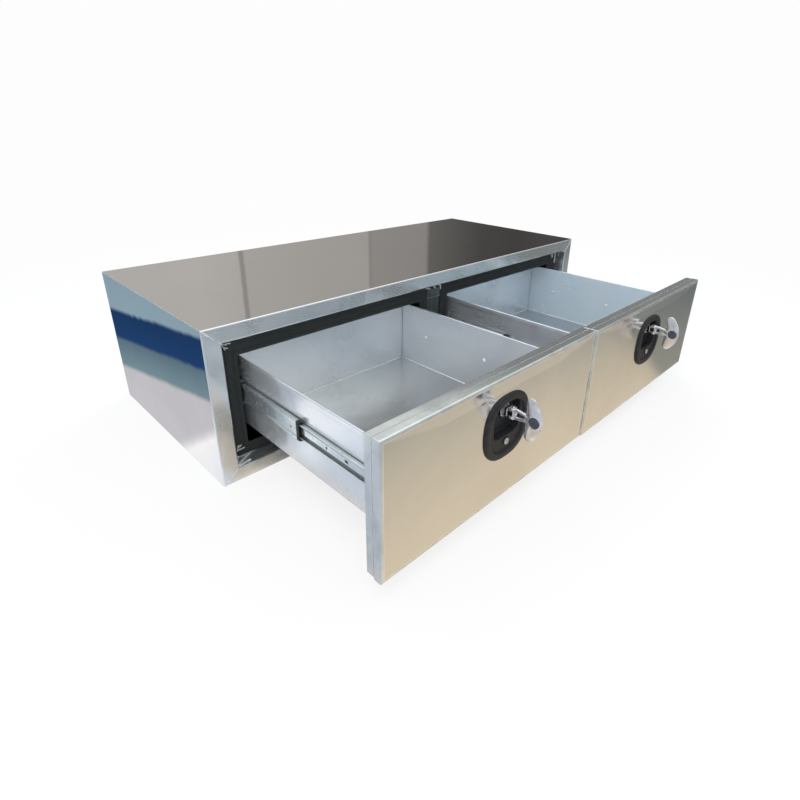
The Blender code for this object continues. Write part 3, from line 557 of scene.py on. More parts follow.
class Tree:
    """Adds nodes to one node tree and wires them."""

    def __init__(self, tree: bpy.types.NodeTree) -> None:
        """Keep the tree that nodes go into."""
        self.tree = tree

    def feed(self, socket: Socket, value: object) -> None:
        """Wire an input to another socket, or set it to a value.

        Args:
            socket: The input.
            value: What goes into it.
        """
        if isinstance(value, Socket):
            self.tree.links.new(value, socket)
        else:
            socket.default_value = value

    def add(self, kind: str, inputs: dict[str | int, object] | None = None,
            **settings: object) -> bpy.types.Node:
        """Add a node, set its properties, and set or wire its inputs.

        Args:
            kind: The node's type without its ShaderNode.
            inputs: Input name or number to a value or to the socket that feeds it.
            **settings: The node's own properties.

        Returns:
            The new node.
        """
        node = self.tree.nodes.new("ShaderNode" + kind)
        for key, value in settings.items():
            setattr(node, key, value)
        for key, value in (inputs or {}).items():
            self.feed(node.inputs[key], value)
        return node

    def math(self, operation: str, first: object, second: object = 0.0) -> Socket:
        """One Math node."""
        return self.add("Math", {0: first, 1: second}, operation=operation).outputs[0]

    def times(self, first: object, second: object) -> Socket:
        """The product of two values."""
        return self.math("MULTIPLY", first, second)

    def plus(self, first: object, second: object) -> Socket:
        """The sum of two values."""
        return self.math("ADD", first, second)

    def span(self, value: Socket, low: object, high: object, kind: str = "LINEAR") -> Socket:
        """How far a value is from low to high, 0 to 1."""
        node = self.add("MapRange", {0: value, 1: low, 2: high}, interpolation_type=kind)
        return node.outputs[0]

    def mix(self, share: object, first: object, second: object, kind: str = "MIX") -> Socket:
        """Mix two colours by a share.

        Args:
            share: Share of the second colour.
            first: A colour, or the socket that gives it.
            second: The other one.
            kind: How they are mixed.

        Returns:
            The mixed colour.
        """
        first, second = [(*colour, 1.0) if isinstance(colour, tuple) else colour
                         for colour in (first, second)]
        return self.add("Mix", {0: share, 6: first, 7: second}, data_type="RGBA",
                        blend_type=kind).outputs[2]

    def ramp(self, value: Socket, *stops: tuple[float, Triple]) -> Socket:
        """A colour for each value, straight between the stops.

        Args:
            value: What picks the colour.
            *stops: Values and their colours.

        Returns:
            The colour.
        """
        node = self.add("ValToRGB", {0: value})
        elements = node.color_ramp.elements
        for element, (place, colour) in zip(elements, (stops[0], stops[-1])):
            element.position, element.color = place, (*colour, 1.0)
        for place, colour in stops[1:-1]:
            elements.new(place).color = (*colour, 1.0)
        return node.outputs[0]

    def place(self, output: str = "Object") -> Socket:
        """Coordinates of the point that is shaded."""
        return self.add("TexCoord").outputs[output]

    def axes(self, place: Socket) -> list[Socket]:
        """The X, Y and Z of a vector."""
        return list(self.add("SeparateXYZ", {0: place}).outputs)

    def bump(self, height: Socket, depth: float, below: Socket | None) -> Socket:
        """One Bump node on top of what is below it."""
        inputs = {"Height": height, "Strength": 1.0, "Distance": depth}
        return self.add("Bump", inputs | ({"Normal": below} if below else {})).outputs[0]


def new_material(name: str) -> tuple[bpy.types.Material, Tree]:
    """A new material and its nodes.

    Args:
        name: The material's name.

    Returns:
        The material, and what adds nodes to it.
    """
    material = bpy.data.materials.new(name)
    material.use_nodes = True
    return material, Tree(material.node_tree)


class Effect(Enum):
    """Node groups of noise that finishes share: name, detail, roughness and distortion."""

    GRAIN = ("rolled_grain", 4.0, 0.65, 0.0)
    CLOUDS = ("handling_clouds", 3.0, 0.5, 0.9)
    SPECKS = ("fine_specks", 1.0, 0.4, 0.0)

    def group(self) -> bpy.types.NodeTree:
        """The effect's node group, built on its first use.

        Returns:
            The group.
        """
        name, detail, rough, twist = self.value
        found = bpy.data.node_groups.get(name)
        if found:
            return found
        tree = bpy.data.node_groups.new(name, "ShaderNodeTree")
        for kind, sockets in (("Vector", ("Place", "Stretch")),
                              ("Float", ("Scale", "Middle", "Spread"))):
            for socket in sockets:
                tree.interface.new_socket(socket, in_out="INPUT", socket_type="NodeSocket" + kind)
        tree.interface.new_socket("Amount", in_out="OUTPUT", socket_type="NodeSocketFloat")
        nodes = Tree(tree)
        given = tree.nodes.new("NodeGroupInput").outputs
        drawn = nodes.add("VectorMath", {0: given["Place"], 1: given["Stretch"]},
                          operation="MULTIPLY").outputs[0]
        noise = nodes.add("TexNoise", {"Vector": drawn, "Scale": given["Scale"],
                                       "Detail": detail, "Roughness": rough,
                                       "Distortion": twist}).outputs[0]
        low = nodes.math("SUBTRACT", given["Middle"], given["Spread"])
        high = nodes.plus(given["Middle"], given["Spread"])
        amount = nodes.span(noise, low, high, "SMOOTHSTEP")
        tree.links.new(amount, tree.nodes.new("NodeGroupOutput").inputs[0])
        return tree

    def use(self, nodes: Tree, place: Socket, scale: float, spread: float,
            centre: float = 0.5, stretch: Triple = (1, 1, 1)) -> Socket:
        """Place the effect in a material.

        Args:
            nodes: The material's nodes.
            place: Coordinates that the pattern lies on.
            scale: Size of the pattern, as bumps per metre.
            spread: How far from its centre the noise fades from none to all.
            centre: The noise's value at half.
            stretch: Less than 1 draws the pattern out along that axis.

        Returns:
            The socket with the effect's amount, 0 to 1.
        """
        inputs = {"Place": place, "Stretch": stretch, "Scale": scale, "Middle": centre,
                  "Spread": spread}
        return nodes.add("Group", inputs, node_tree=self.group()).outputs["Amount"]


class PaintedLight(Enum):
    """Masks of painted light that finishes share, each a node group: a highlight on edges and shade
    in hollows.
    """

    EDGES = "rubbed_edges"
    HOLLOWS = "dirty_hollows"

    def group(self) -> bpy.types.NodeTree:
        """The mask's node group, built on its first use.

        Edges are where a rounded normal leaves the true one, and there a highlight is painted;
        hollows are what the sky doesn't reach within the width, and there shade is painted.

        Returns:
            The group.
        """
        found = bpy.data.node_groups.get(self.value)
        if found:
            return found
        tree = bpy.data.node_groups.new(self.value, "ShaderNodeTree")
        tree.interface.new_socket("Width", in_out="INPUT", socket_type="NodeSocketFloat")
        tree.interface.new_socket("Amount", in_out="OUTPUT", socket_type="NodeSocketFloat")
        nodes = Tree(tree)
        width = tree.nodes.new("NodeGroupInput").outputs["Width"]
        if self is PaintedLight.EDGES:
            rounded = nodes.add("Bevel", {"Radius": width}, samples=4).outputs[0]
            true = nodes.add("NewGeometry").outputs["Normal"]
            facing = nodes.add("VectorMath", {0: rounded, 1: true}, operation="DOT_PRODUCT")
            amount = nodes.span(facing.outputs["Value"], 0.995, 0.88)
        else:
            clear = nodes.add("AmbientOcclusion", {"Distance": width}, samples=6).outputs["AO"]
            amount = nodes.math("SUBTRACT", 1.0, clear)
        tree.links.new(amount, tree.nodes.new("NodeGroupOutput").inputs[0])
        return tree

    def use(self, nodes: Tree, width: float) -> Socket:
        """Amount of the mask, 0 to 1, for edges or hollows of a width in metres."""
        return nodes.add("Group", {"Width": width}, node_tree=self.group()).outputs["Amount"]


# Painted light: the colour of shade in narrow places, the colour of highlights on edges, and how
# much metal those highlights lose.
HOLLOW_SHADE = (0.020, 0.024, 0.026)
EDGE_HIGHLIGHT_COLOUR = (0.94, 0.97, 1.0)
HIGHLIGHT_METAL_LOSS = 0.75


@dataclass(frozen=True)
class Finish:
    """A finish: colours, gloss, the marks of making and handling, and painted light: a highlight on
    edges and shade in narrow places.

    Attributes:
        name: The material's name.
        slot: The record's material slot, not used.
        tone, mark: Base colour, and the colour of smudges or dull patches.
        metal, shine: Metallic value, and specular level of the clear part.
        gloss, dull: Lowest roughness, and what is added where it is smudged.
        run: Direction of its grain, or none.
        grain, wave, speck: Heights of grain, long waves and fine specks, in metres.
        grain_scale, cloud_scale, wave_scale, speck_scale: How many of them per metre.
        burnish, burnish_width: How strongly sharp edges get a painted highlight, whiter and less
            metallic, and how wide.
        hollow, hollow_reach: How much painted shade darkens narrow places, and how wide.
        darkens: Stretch of X over which it turns to the mark's colour, a painted shade, or none.
    """

    name: str
    slot: str
    tone: Triple
    mark: Triple
    metal: float = 1.0
    gloss: float = 0.2
    dull: float = 0.1
    run: Run | None = None
    grain: float = 0.0
    grain_scale: float = 900.0
    cloud_scale: float = 6.0
    wave: float = 0.0
    wave_scale: float = 3.0
    speck: float = 0.0
    speck_scale: float = 2500.0
    shine: float = 0.5
    burnish: float = 0.0
    burnish_width: float = 0.0015
    hollow: float = 0.0
    hollow_reach: float = 0.006
    darkens: Pair | None = None

    def material(self) -> bpy.types.Material:
        """The finish's material, built on its first use.

        Returns:
            The material.
        """
        found = bpy.data.materials.get(self.name)
        if found:
            return found
        material, nodes = new_material(self.name)
        place = nodes.place()
        clouds = Effect.CLOUDS.use(nodes, place, self.cloud_scale, 0.22)
        fine = Effect.CLOUDS.use(nodes, place, self.cloud_scale * 3, 0.3)
        marks = nodes.times(clouds, nodes.plus(nodes.times(fine, 0.4), 0.6))
        # Painted shade: the colour turns towards the mark's along X.
        if self.darkens:
            across = nodes.span(nodes.axes(place)[0], *self.darkens)
            marks = nodes.math("MAXIMUM", nodes.times(marks, 0.5), across)
        colour = nodes.mix(marks, self.tone, self.mark)
        rough = nodes.plus(nodes.times(marks, self.dull), self.gloss)
        metallic, normal = self.metal, None
        if self.wave:
            waves = Effect.CLOUDS.use(nodes, place, self.wave_scale, 0.5)
            normal = nodes.bump(waves, self.wave, normal)
        if self.run:
            grain = Effect.GRAIN.use(nodes, place, self.grain_scale, 0.35,
                                     stretch=self.run.value)
            rough = nodes.plus(rough, nodes.times(grain, self.dull * 0.5))
            darker = tuple(0.9 * value for value in self.tone)
            colour = nodes.mix(nodes.times(grain, 0.35), colour, darker)
            normal = nodes.bump(grain, self.grain, normal)
        if self.speck:
            specks = Effect.SPECKS.use(nodes, place, self.speck_scale, 0.12, 0.56)
            normal = nodes.bump(specks, self.speck, normal)
            rough = nodes.plus(rough, nodes.times(specks, 0.12))
        # Painted shade: narrow places that the sky doesn't reach turn dark.
        if self.hollow:
            shade_share = nodes.times(PaintedLight.HOLLOWS.use(nodes, self.hollow_reach), self.hollow)
            colour = nodes.mix(shade_share, colour, HOLLOW_SHADE)
        # Painted highlight: sharp edges turn whiter and less metallic.
        if self.burnish:
            highlit = nodes.times(PaintedLight.EDGES.use(nodes, self.burnish_width), self.burnish)
            colour = nodes.mix(highlit, colour, EDGE_HIGHLIGHT_COLOUR)
            kept = nodes.math("SUBTRACT", 1.0, nodes.times(highlit, HIGHLIGHT_METAL_LOSS))
            metallic = nodes.times(kept, self.metal)
        shader = material.node_tree.nodes["Principled BSDF"].inputs
        shader["Metallic"].default_value = self.metal
        for name, value in (("Base Color", colour), ("Roughness", rough), ("Normal", normal),
                            ("Metallic", metallic), ("Specular IOR Level", self.shine)):
            if value is not None:
                nodes.feed(shader[name], value)
        material.diffuse_color = (*self.tone, 1)
        return material


# Below, the edge setting paints a highlight on sharp edges, and the hollow setting paints shade
# into narrow places.
SKIN = "cabinet_aluminium"
TRAY = "tray_aluminium"
TOP_SKIN = Finish("bright_sheet_top", SKIN, (0.90, 0.89, 0.88), (0.86, 0.85, 0.84), gloss=0.004,
                  dull=0.008, run=Run.ACROSS, grain=0.0000002, wave=0.0001, cloud_scale=3.0,
                  burnish=0.7, burnish_width=0.0010)
SIDE_SKIN = Finish("bright_sheet_side", SKIN, (0.89, 0.89, 0.90), (0.80, 0.80, 0.82), gloss=0.015,
                   dull=0.02, run=Run.UP, grain=0.0000005, wave=0.0004, cloud_scale=5.0,
                   burnish=1.0, burnish_width=0.0012)
FRONT_SKIN = Finish("bright_sheet_front", SKIN, (0.90, 0.89, 0.87), (0.83, 0.81, 0.78),
                    gloss=0.08, dull=0.08, run=Run.UP, grain=0.0000010, wave=0.0006,
                    cloud_scale=4.0)
RIM_SKIN = Finish("bright_sheet_rim", SKIN, (0.86, 0.88, 0.88), (0.60, 0.63, 0.61), metal=0.85,
                  gloss=0.12, dull=0.12, cloud_scale=14.0, burnish=1.0, burnish_width=0.0012)
FLANGE_SKIN = Finish("brushed_flange", SKIN, (0.88, 0.90, 0.91), (0.50, 0.57, 0.57), metal=0.9,
                     gloss=0.14, dull=0.16, run=Run.ACROSS, grain=0.000001, cloud_scale=9.0)
# Dark tone is painted shade: the post's face mirrors the shadowed gap between the drawers.
POST_SKIN = Finish("shaded_post", SKIN, (0.20, 0.22, 0.22), (0.09, 0.10, 0.10), gloss=0.20,
                   dull=0.16, run=Run.UP, grain=0.000006, grain_scale=60.0, cloud_scale=30.0,
                   burnish=0.8, burnish_width=0.0012)
TRAY_SHEET = Finish("mill_sheet_tray", TRAY, (0.92, 0.95, 0.98), (0.74, 0.78, 0.83), metal=0.72,
                    gloss=0.14, dull=0.12, run=Run.BACK, grain=0.000001, wave=0.0008,
                    wave_scale=7.0, hollow=0.3)
# The floors turn darker and bluer towards +X across both drawers: painted shade.
TRAY_FLOOR = replace(TRAY_SHEET, name="mill_sheet_floor", tone=(0.98, 0.99, 0.98),
                     mark=(0.38, 0.45, 0.49), darkens=(-0.48, 0.10))
# A bluish, barely metallic wall: painted reflection of the pale sky.
TRAY_SKY_REFLECTION = replace(TRAY_SHEET, name="mill_sheet_sky_reflection", tone=(0.83, 0.94, 1.0),
                    mark=(0.76, 0.90, 1.0), metal=0.3)
WELD = Finish("weld_metal", SKIN, (0.97, 0.98, 0.98), (0.45, 0.45, 0.44), metal=0.35, gloss=0.18,
              dull=0.30, cloud_scale=160.0, speck=0.00008, speck_scale=900.0)
BRIGHT = Finish("bright_joint", TRAY, (1.0, 1.0, 1.0), (0.90, 0.92, 0.94), metal=0.1,
                gloss=0.18, dull=0.2, cloud_scale=120.0)
ZINC = Finish("zinc_plate", "slide_zinc", (0.82, 0.88, 0.90), (0.60, 0.68, 0.71), metal=0.85,
              gloss=0.16, dull=0.14, run=Run.BACK, grain=0.000002, cloud_scale=30.0,
              burnish=1.0, burnish_width=0.0008, hollow=0.95, hollow_reach=0.009)
CAGE = Finish("cage_steel", "cage_steel", (0.62, 0.63, 0.64), (0.45, 0.46, 0.47), gloss=0.18,
              dull=0.2, cloud_scale=60.0)
CHROME = Finish("chrome_plate", "lock_chrome", (0.86, 0.86, 0.91), (0.78, 0.78, 0.84), gloss=0.06,
                dull=0.10, cloud_scale=30.0, wave=0.0001, wave_scale=40.0)
CASTING = Finish("black_casting", "lock_casting", (0.019, 0.020, 0.021), (0.030, 0.031, 0.031),
                 metal=0.0, shine=0.22, gloss=0.36, dull=0.12, cloud_scale=40.0, speck=0.00006,
                 speck_scale=1400.0, hollow=0.6, hollow_reach=0.02)
BUTTON = Finish("keeper_plate", "slide_zinc", (0.42, 0.43, 0.41), (0.26, 0.27, 0.25), metal=0.7,
                gloss=0.22, dull=0.2, cloud_scale=120.0, burnish=0.9, burnish_width=0.0008)
SATIN = replace(CHROME, name="satin_chrome", tone=(0.95, 0.95, 0.98), mark=(0.53, 0.53, 0.56),
                metal=0.72, gloss=0.10, dull=0.14, cloud_scale=38.0)
# Black hub: its light grey marks are partly wear and partly painted glints, and the edge setting
# paints highlights on its stepped rings.
HUB = Finish("black_hub_wear_and_glints", "lock_chrome", (0.06, 0.06, 0.065), (0.55, 0.55, 0.58),
             gloss=0.12, dull=0.12, cloud_scale=130.0, speck=0.00012, speck_scale=420.0,
             burnish=1.0, burnish_width=0.0007)
BARREL = Finish("barrel_cap", "key_barrel_finish", (0.045, 0.058, 0.085), (0.075, 0.085, 0.110),
                metal=0.0, gloss=0.38, dull=0.2, cloud_scale=180.0, speck=0.00005,
                speck_scale=1800.0)
RUBBER = Finish("seal_rubber", "seal_rubber", (0.036, 0.044, 0.044), (0.066, 0.078, 0.076),
                metal=0.0, gloss=0.30, dull=0.18, cloud_scale=14.0, speck=0.00003,
                speck_scale=3000.0)
PLASTIC = Finish("clip_plastic", "clip_plastic", (0.006, 0.006, 0.007), (0.014, 0.014, 0.015),
                 metal=0.0, shine=0.3, gloss=0.42, dull=0.15, cloud_scale=120.0, speck=0.00002)


# The cabinet


@dataclass(frozen=True)
class Layout:
    """Places that several parts share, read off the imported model."""

    half_width: float
    face_y: float
    back_y: float
    height: float
    flange_side: float = 0.033
    flange_top: float = 0.032
    flange_bottom: float = 0.028
    rebate: float = 0.036

    @classmethod
    def measured(cls) -> Layout:
        """Read the cabinet's box from its side panel."""
        low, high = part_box("left_side_panel")
        return cls(half_width=-low.x, face_y=low.y, back_y=high.y, height=high.z)

    @property
    def lip_y(self) -> float:
        """Front of the lip round the openings."""
        return self.face_y + self.rebate

    @property
    def opening(self) -> tuple[float, float, float, float]:
        """The right opening's edges: near and far x, low and high z."""
        return (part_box("centre_divider")[1].x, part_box("right_side_panel")[0].x,
                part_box("bottom_panel")[1].z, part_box("top_panel")[0].z)


def spread(low: Grid, high: Grid, count: int) -> Grid:
    """Even steps from each low value to its high one."""
    return low[:, None] + (high - low)[:, None] * np.linspace(0, 1, count)


class Cabinet:
    """The folded box: four mitred panels, back, centre divider and slide carriers."""

    def __init__(self, layout: Layout) -> None:
        """Keep the shared places."""
        self.layout = layout
        self.inner, self.outer, self.low, self.high = layout.opening

    def build(self) -> None:
        """Make every piece of the cabinet."""
        self._level_panel("top_panel", True)
        self._level_panel("bottom_panel", False)
        self._side_panel("left_side_panel", -1)
        self._side_panel("right_side_panel", 1)
        self._divider()
        self._back_sheet()
        for hand in Hand:
            dress_node(f"{hand.word}_slide_carrier", TRAY_SHEET)
        self._welds()

    def _split(self, name: str, grids: list[Grid], skin: Finish) -> None:
        """Place a panel as its bright skin and, past the first fold, its brushed flange.

        Args:
            name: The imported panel's name.
            grids: Its outer and its inner face, from the back edge to the lip.
            skin: Finish of the part before the fold.
        """
        fold = 1 + FOLD_STEPS
        Piece(name + "_skin", slab(*[grid[:fold + 1] for grid in grids]), skin, "cabinet",
              (name,), edge=0.0003).place()
        Piece(name + "_face_frame", slab(*[grid[fold:] for grid in grids]), FLANGE_SKIN,
              "cabinet").place()

    def _level_panel(self, name: str, top: bool) -> None:
        """Top or bottom panel; its ends are mitred in step with the depth from the skin.

        Args:
            name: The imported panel's name.
            top: Whether it is the top.
        """
        lay = self.layout
        flange = lay.flange_top if top else lay.flange_bottom
        depth = lay.height - self.high if top else self.low
        line = [(lay.back_y, 0), (lay.face_y, 0), (lay.face_y, flange), (lay.lip_y, flange),
                (lay.lip_y, depth)]
        grids = []
        for face in sheet_section(line, -1):
            down = face[:, 1]
            mitre = lay.half_width - FIT - np.minimum(down, flange) * (lay.flange_side / flange)
            ends = np.where(down > flange + FOLD, self.outer - FIT, mitre)
            flat = (0, lay.height) + face * (1, -1) if top else face
            grids.append(lift(flat[:, None], "YZ", spread(-ends, ends, PANEL_COLUMNS)))
        self._split(name, grids, TOP_SKIN)

    def _side_panel(self, name: str, hand: int) -> None:
        """Side panel; its ends are mitred to meet the top and bottom.

        Args:
            name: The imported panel's name.
            hand: -1 left, 1 right.
        """
        lay = self.layout
        flange = lay.flange_side
        line = [(0, lay.back_y), (0, lay.face_y), (flange, lay.face_y), (flange, lay.lip_y),
                (lay.half_width - self.outer, lay.lip_y)]
        grids = []
        for face in sheet_section(line, 1):
            share = np.minimum(face[:, 0], flange) / flange
            clear = np.where(face[:, 0] > flange + FOLD, 2 * FIT, 0)
            height = spread(share * lay.flange_bottom + clear,
                            lay.height - share * lay.flange_top - clear, PANEL_COLUMNS)
            flat = (hand * lay.half_width, 0) + face * (-hand, 1)
            grids.append(lift(flat[:, None], "XY", height))
        self._split(name, grids, SIDE_SKIN)

    def _divider(self) -> None:
        """U-channel post: its face fills the gap between lips, its walls run behind them."""
        lay = self.layout
        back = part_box("centre_divider")[1].y
        line = [(self.inner, back), (self.inner, lay.lip_y), (-self.inner, lay.lip_y),
                (-self.inner, back)]
        grids = []
        for face in sheet_section(line, -1):
            behind = face[:, 1] > lay.lip_y + SHEET + FIT
            low = np.where(behind, SHEET + FIT, self.low + FIT)
            high = np.where(behind, lay.height - SHEET - FIT, self.high - FIT)
            grids.append(lift(face[:, None], "XY", spread(low, high, 5)))
        Piece("centre_post", slab(*grids), POST_SKIN, "cabinet", ("centre_divider",)).place()
        cap = rectangle_ring((0.0, self.high + 0.0120), (0.0268, 0.0114), 0.001)
        Piece("post_cap", plate(cap, "XZ", lay.lip_y - 0.0012, lay.lip_y - FIT, 0.0004, 2),
              POST_SKIN, "cabinet").place()

    def _back_sheet(self) -> None:
        """Back panel as a sheet with a faint pressed panel."""
        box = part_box("back_panel")
        insets, proud = mm((0, 30, 34, 80), (0, 0, 0.7, 0.7))
        rings = nested_rings(*middle(box, "XZ"), insets, 0.004 + insets / 8)
        outer = lift(rings, "XZ", box[1].y - proud)
        inner = outer - (0, SHEET, 0)
        edge = np.stack([outer[:, 0], inner[:, 0]], 1)
        patches = [Patch(grid, around=True) for grid in (outer, inner, edge)]
        patches += bar(outer[:, -1:]) + bar(inner[:, -1:])
        Piece("back_sheet", patches, SIDE_SKIN, "cabinet", ("back_panel",)).place()

    def _welds(self) -> None:
        """Ground mitre seams, and rough beads where the flanges meet in the rebate."""
        lay = self.layout
        seams, beads = [], []
        seam_y, bead_y = lay.face_y + 0.0004, lay.lip_y - 0.0026
        for hand in (-1, 1):
            for edge_z, inner_z in ((lay.height - 0.001, lay.height - lay.flange_top),
                                    (0.001, lay.flange_bottom)):
                x = hand * (lay.half_width - lay.flange_side)
                seams += weld_bead((hand * (lay.half_width - 0.001), seam_y, edge_z),
                                   (x, seam_y, inner_z), 0.0011, 3, 0.003)
                beads += self._corner_beads(hand, x, inner_z)
        top = lay.height - lay.flange_top - 0.001
        for x, rise, far_x, far_rise, radius in ((-0.030, -0.014, -0.014, -0.017, 0.0018),
                                                 (-0.020, -0.010, 0.020, -0.012, 0.0016),
                                                 (-0.004, -0.012, 0.006, -0.020, 0.0017),
                                                 (0.012, -0.010, 0.025, -0.017, 0.0019),
                                                 (0.022, -0.016, 0.024, -0.026, 0.0016)):
            beads += weld_bead((x, bead_y, top + rise), (far_x, bead_y, top + far_rise), radius,
                               int(radius * 1e5), CRUMB_PITCH)
        Piece("mitre_seams", seams, WELD, "cabinet").place()
        Piece("rebate_weld_beads", beads, WELD, "cabinet").place()

    def _corner_beads(self, hand: int, x: float, z: float) -> list[Patch]:
        """Rough beads in one inner corner: back along the rebate, across its end, crumbs.

        Args:
            hand: -1 left, 1 right.
            x: Where the side's rebate wall is.
            z: Where the top's or bottom's rebate wall is.

        Returns:
            The beads' patches.
        """
        lay = self.layout
        up = 1 if z < lay.height / 2 else -1
        x, z = x - hand * 0.0010, z + up * 0.0010
        seed = int(z * 1000) + hand

        def bead(start: Triple, end: Triple, radius: float, number: int,
                 pitch: float = BEAD_PITCH) -> list[Patch]:
            """A bead between two places, given as inwards, y, and away from the skin."""
            ends = [(x - hand * inwards, y, z + up * rise) for inwards, y, rise in (start, end)]
            return weld_bead(*ends, radius, number, pitch)

        front, deep, lip = lay.face_y + 0.003, lay.lip_y - 0.0016, lay.lip_y - 0.0032
        beads = bead((0, front, 0), (0, lay.lip_y - 0.002, 0), 0.0030, seed)
        beads += bead((0, deep, 0), (0, deep, 0.045), 0.0024, seed + 1)
        beads += bead((0, deep, 0), (0.060, deep, 0), 0.0022, seed + 2)
        for index, (inwards, back, rise) in enumerate(mm((3.6, 9, 4.4), (3.8, 13, 2.2),
                                                         (1.6, 6, 4.8), (3.6, 20, 4.0))):
            beads += bead((0, front, 0), (inwards, lay.face_y + back, rise),
                          0.0015 + 0.0002 * (index % 2), seed + 3 * index, CRUMB_PITCH)
        if up > 0:
            for index, (inwards, back) in enumerate(mm((30, 10), (22, 20), (12, 30), (40, 30))):
                beads += bead((0.002, lay.face_y + 0.004 + 0.003 * index, 0),
                              (inwards, lay.face_y + back, 0.0006), 0.0017, seed + 5 * index)
        for inwards, rise, far, far_rise in ((0.013, 0.013, 0.022, 0.017),
                                             (0.014, 0.016, 0.018, 0.026),
                                             (0.020, 0.014, 0.030, 0.016),
                                             (0.015, 0.020, 0.024, 0.024)):
            beads += bead((inwards, lip, rise), (far, lip, far_rise), 0.0013,
                          int(far_rise * 1000) + hand, CRUMB_PITCH)
        return beads


@dataclass
class Seal:
    """Rubber seal of one opening: a clip with a bulb on the lip's edge, and a side bulb."""

    hand: Hand
    layout: Layout

    def __post_init__(self) -> None:
        """Find how far it stands in front of the lip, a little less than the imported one."""
        self.name = f"{self.hand.word}_opening_seal"
        self.reach = self.layout.lip_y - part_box(self.name)[0].y - 10 * FIT

    def build(self) -> None:
        """Carry both sections round their paths."""
        inner, outer, low, high = self.layout.opening
        clip = smoothed(mm((-1.1, -1.9), (-1.1, 3.8), (0.6, 5.6), (4.0, 6.0), (6.6, 5.2),
                           (7.6, 2.9), (8.6, 2.9), (9.8, 5.6), (13.0, 7.0), (19.0, 6.9),
                           (23.2, 6.0), (24.6, 3.4), (24.6, 0.1), (0.35, 0.1), (0.3, -1.9)))
        clip[:, 1] *= self.reach / 0.0070
        radii = np.interp(clip[:, 0], (-0.001, 0.008, 0.011, 0.025), (0.006, 0.008, 0.004, 0.002))
        rings = nested_rings((self.hand.value * (inner + outer) / 2, (low + high) / 2),
                             ((outer - inner) / 2, (high - low) / 2), -clip[:, 0], radii, 5)
        Piece(self.name + "_clip", hoop(lift(rings, "XZ", self.layout.lip_y - clip[:, 1])),
              RUBBER, "cabinet", (self.name,)).place()
        self._side_bulb(outer, low, high)

    def _side_bulb(self, outer: float, low: float, high: float) -> None:
        """The second strip: a fat bulb up the outer side.

        Args:
            outer: The opening's far x.
            low: Its low z.
            high: Its high z.
        """
        lip_y = self.layout.lip_y
        section = smoothed(mm((23.4, 0.1), (23.2, 4.4), (24.6, 7.6), (28.0, 8.8), (33.0, 8.8),
                              (36.0, 7.0), (37.2, 3.4), (37.0, 0.1)))
        section[:, 1] *= self.reach / 0.0088
        top = self.layout.height - self.layout.flange_top - 0.0012
        flat = (self.hand.value * outer, lip_y) + section * (self.hand.value, -1)
        patches = bar(lift(flat[:, None], "XY", np.linspace(low - 0.012, top, 12)))
        strip = rectangle_ring((self.hand.value * (outer + 0.0240) / 2, (top + high + 0.0230) / 2),
                               ((outer + 0.0225) / 2, (top - high - 0.0230) / 2), 0.001)
        patches += plate(strip, "XZ", lip_y - 0.0030, lip_y - FIT, 0.0008)
        Piece(self.name + "_side_bulb", patches, RUBBER, "cabinet").place()


# Slides


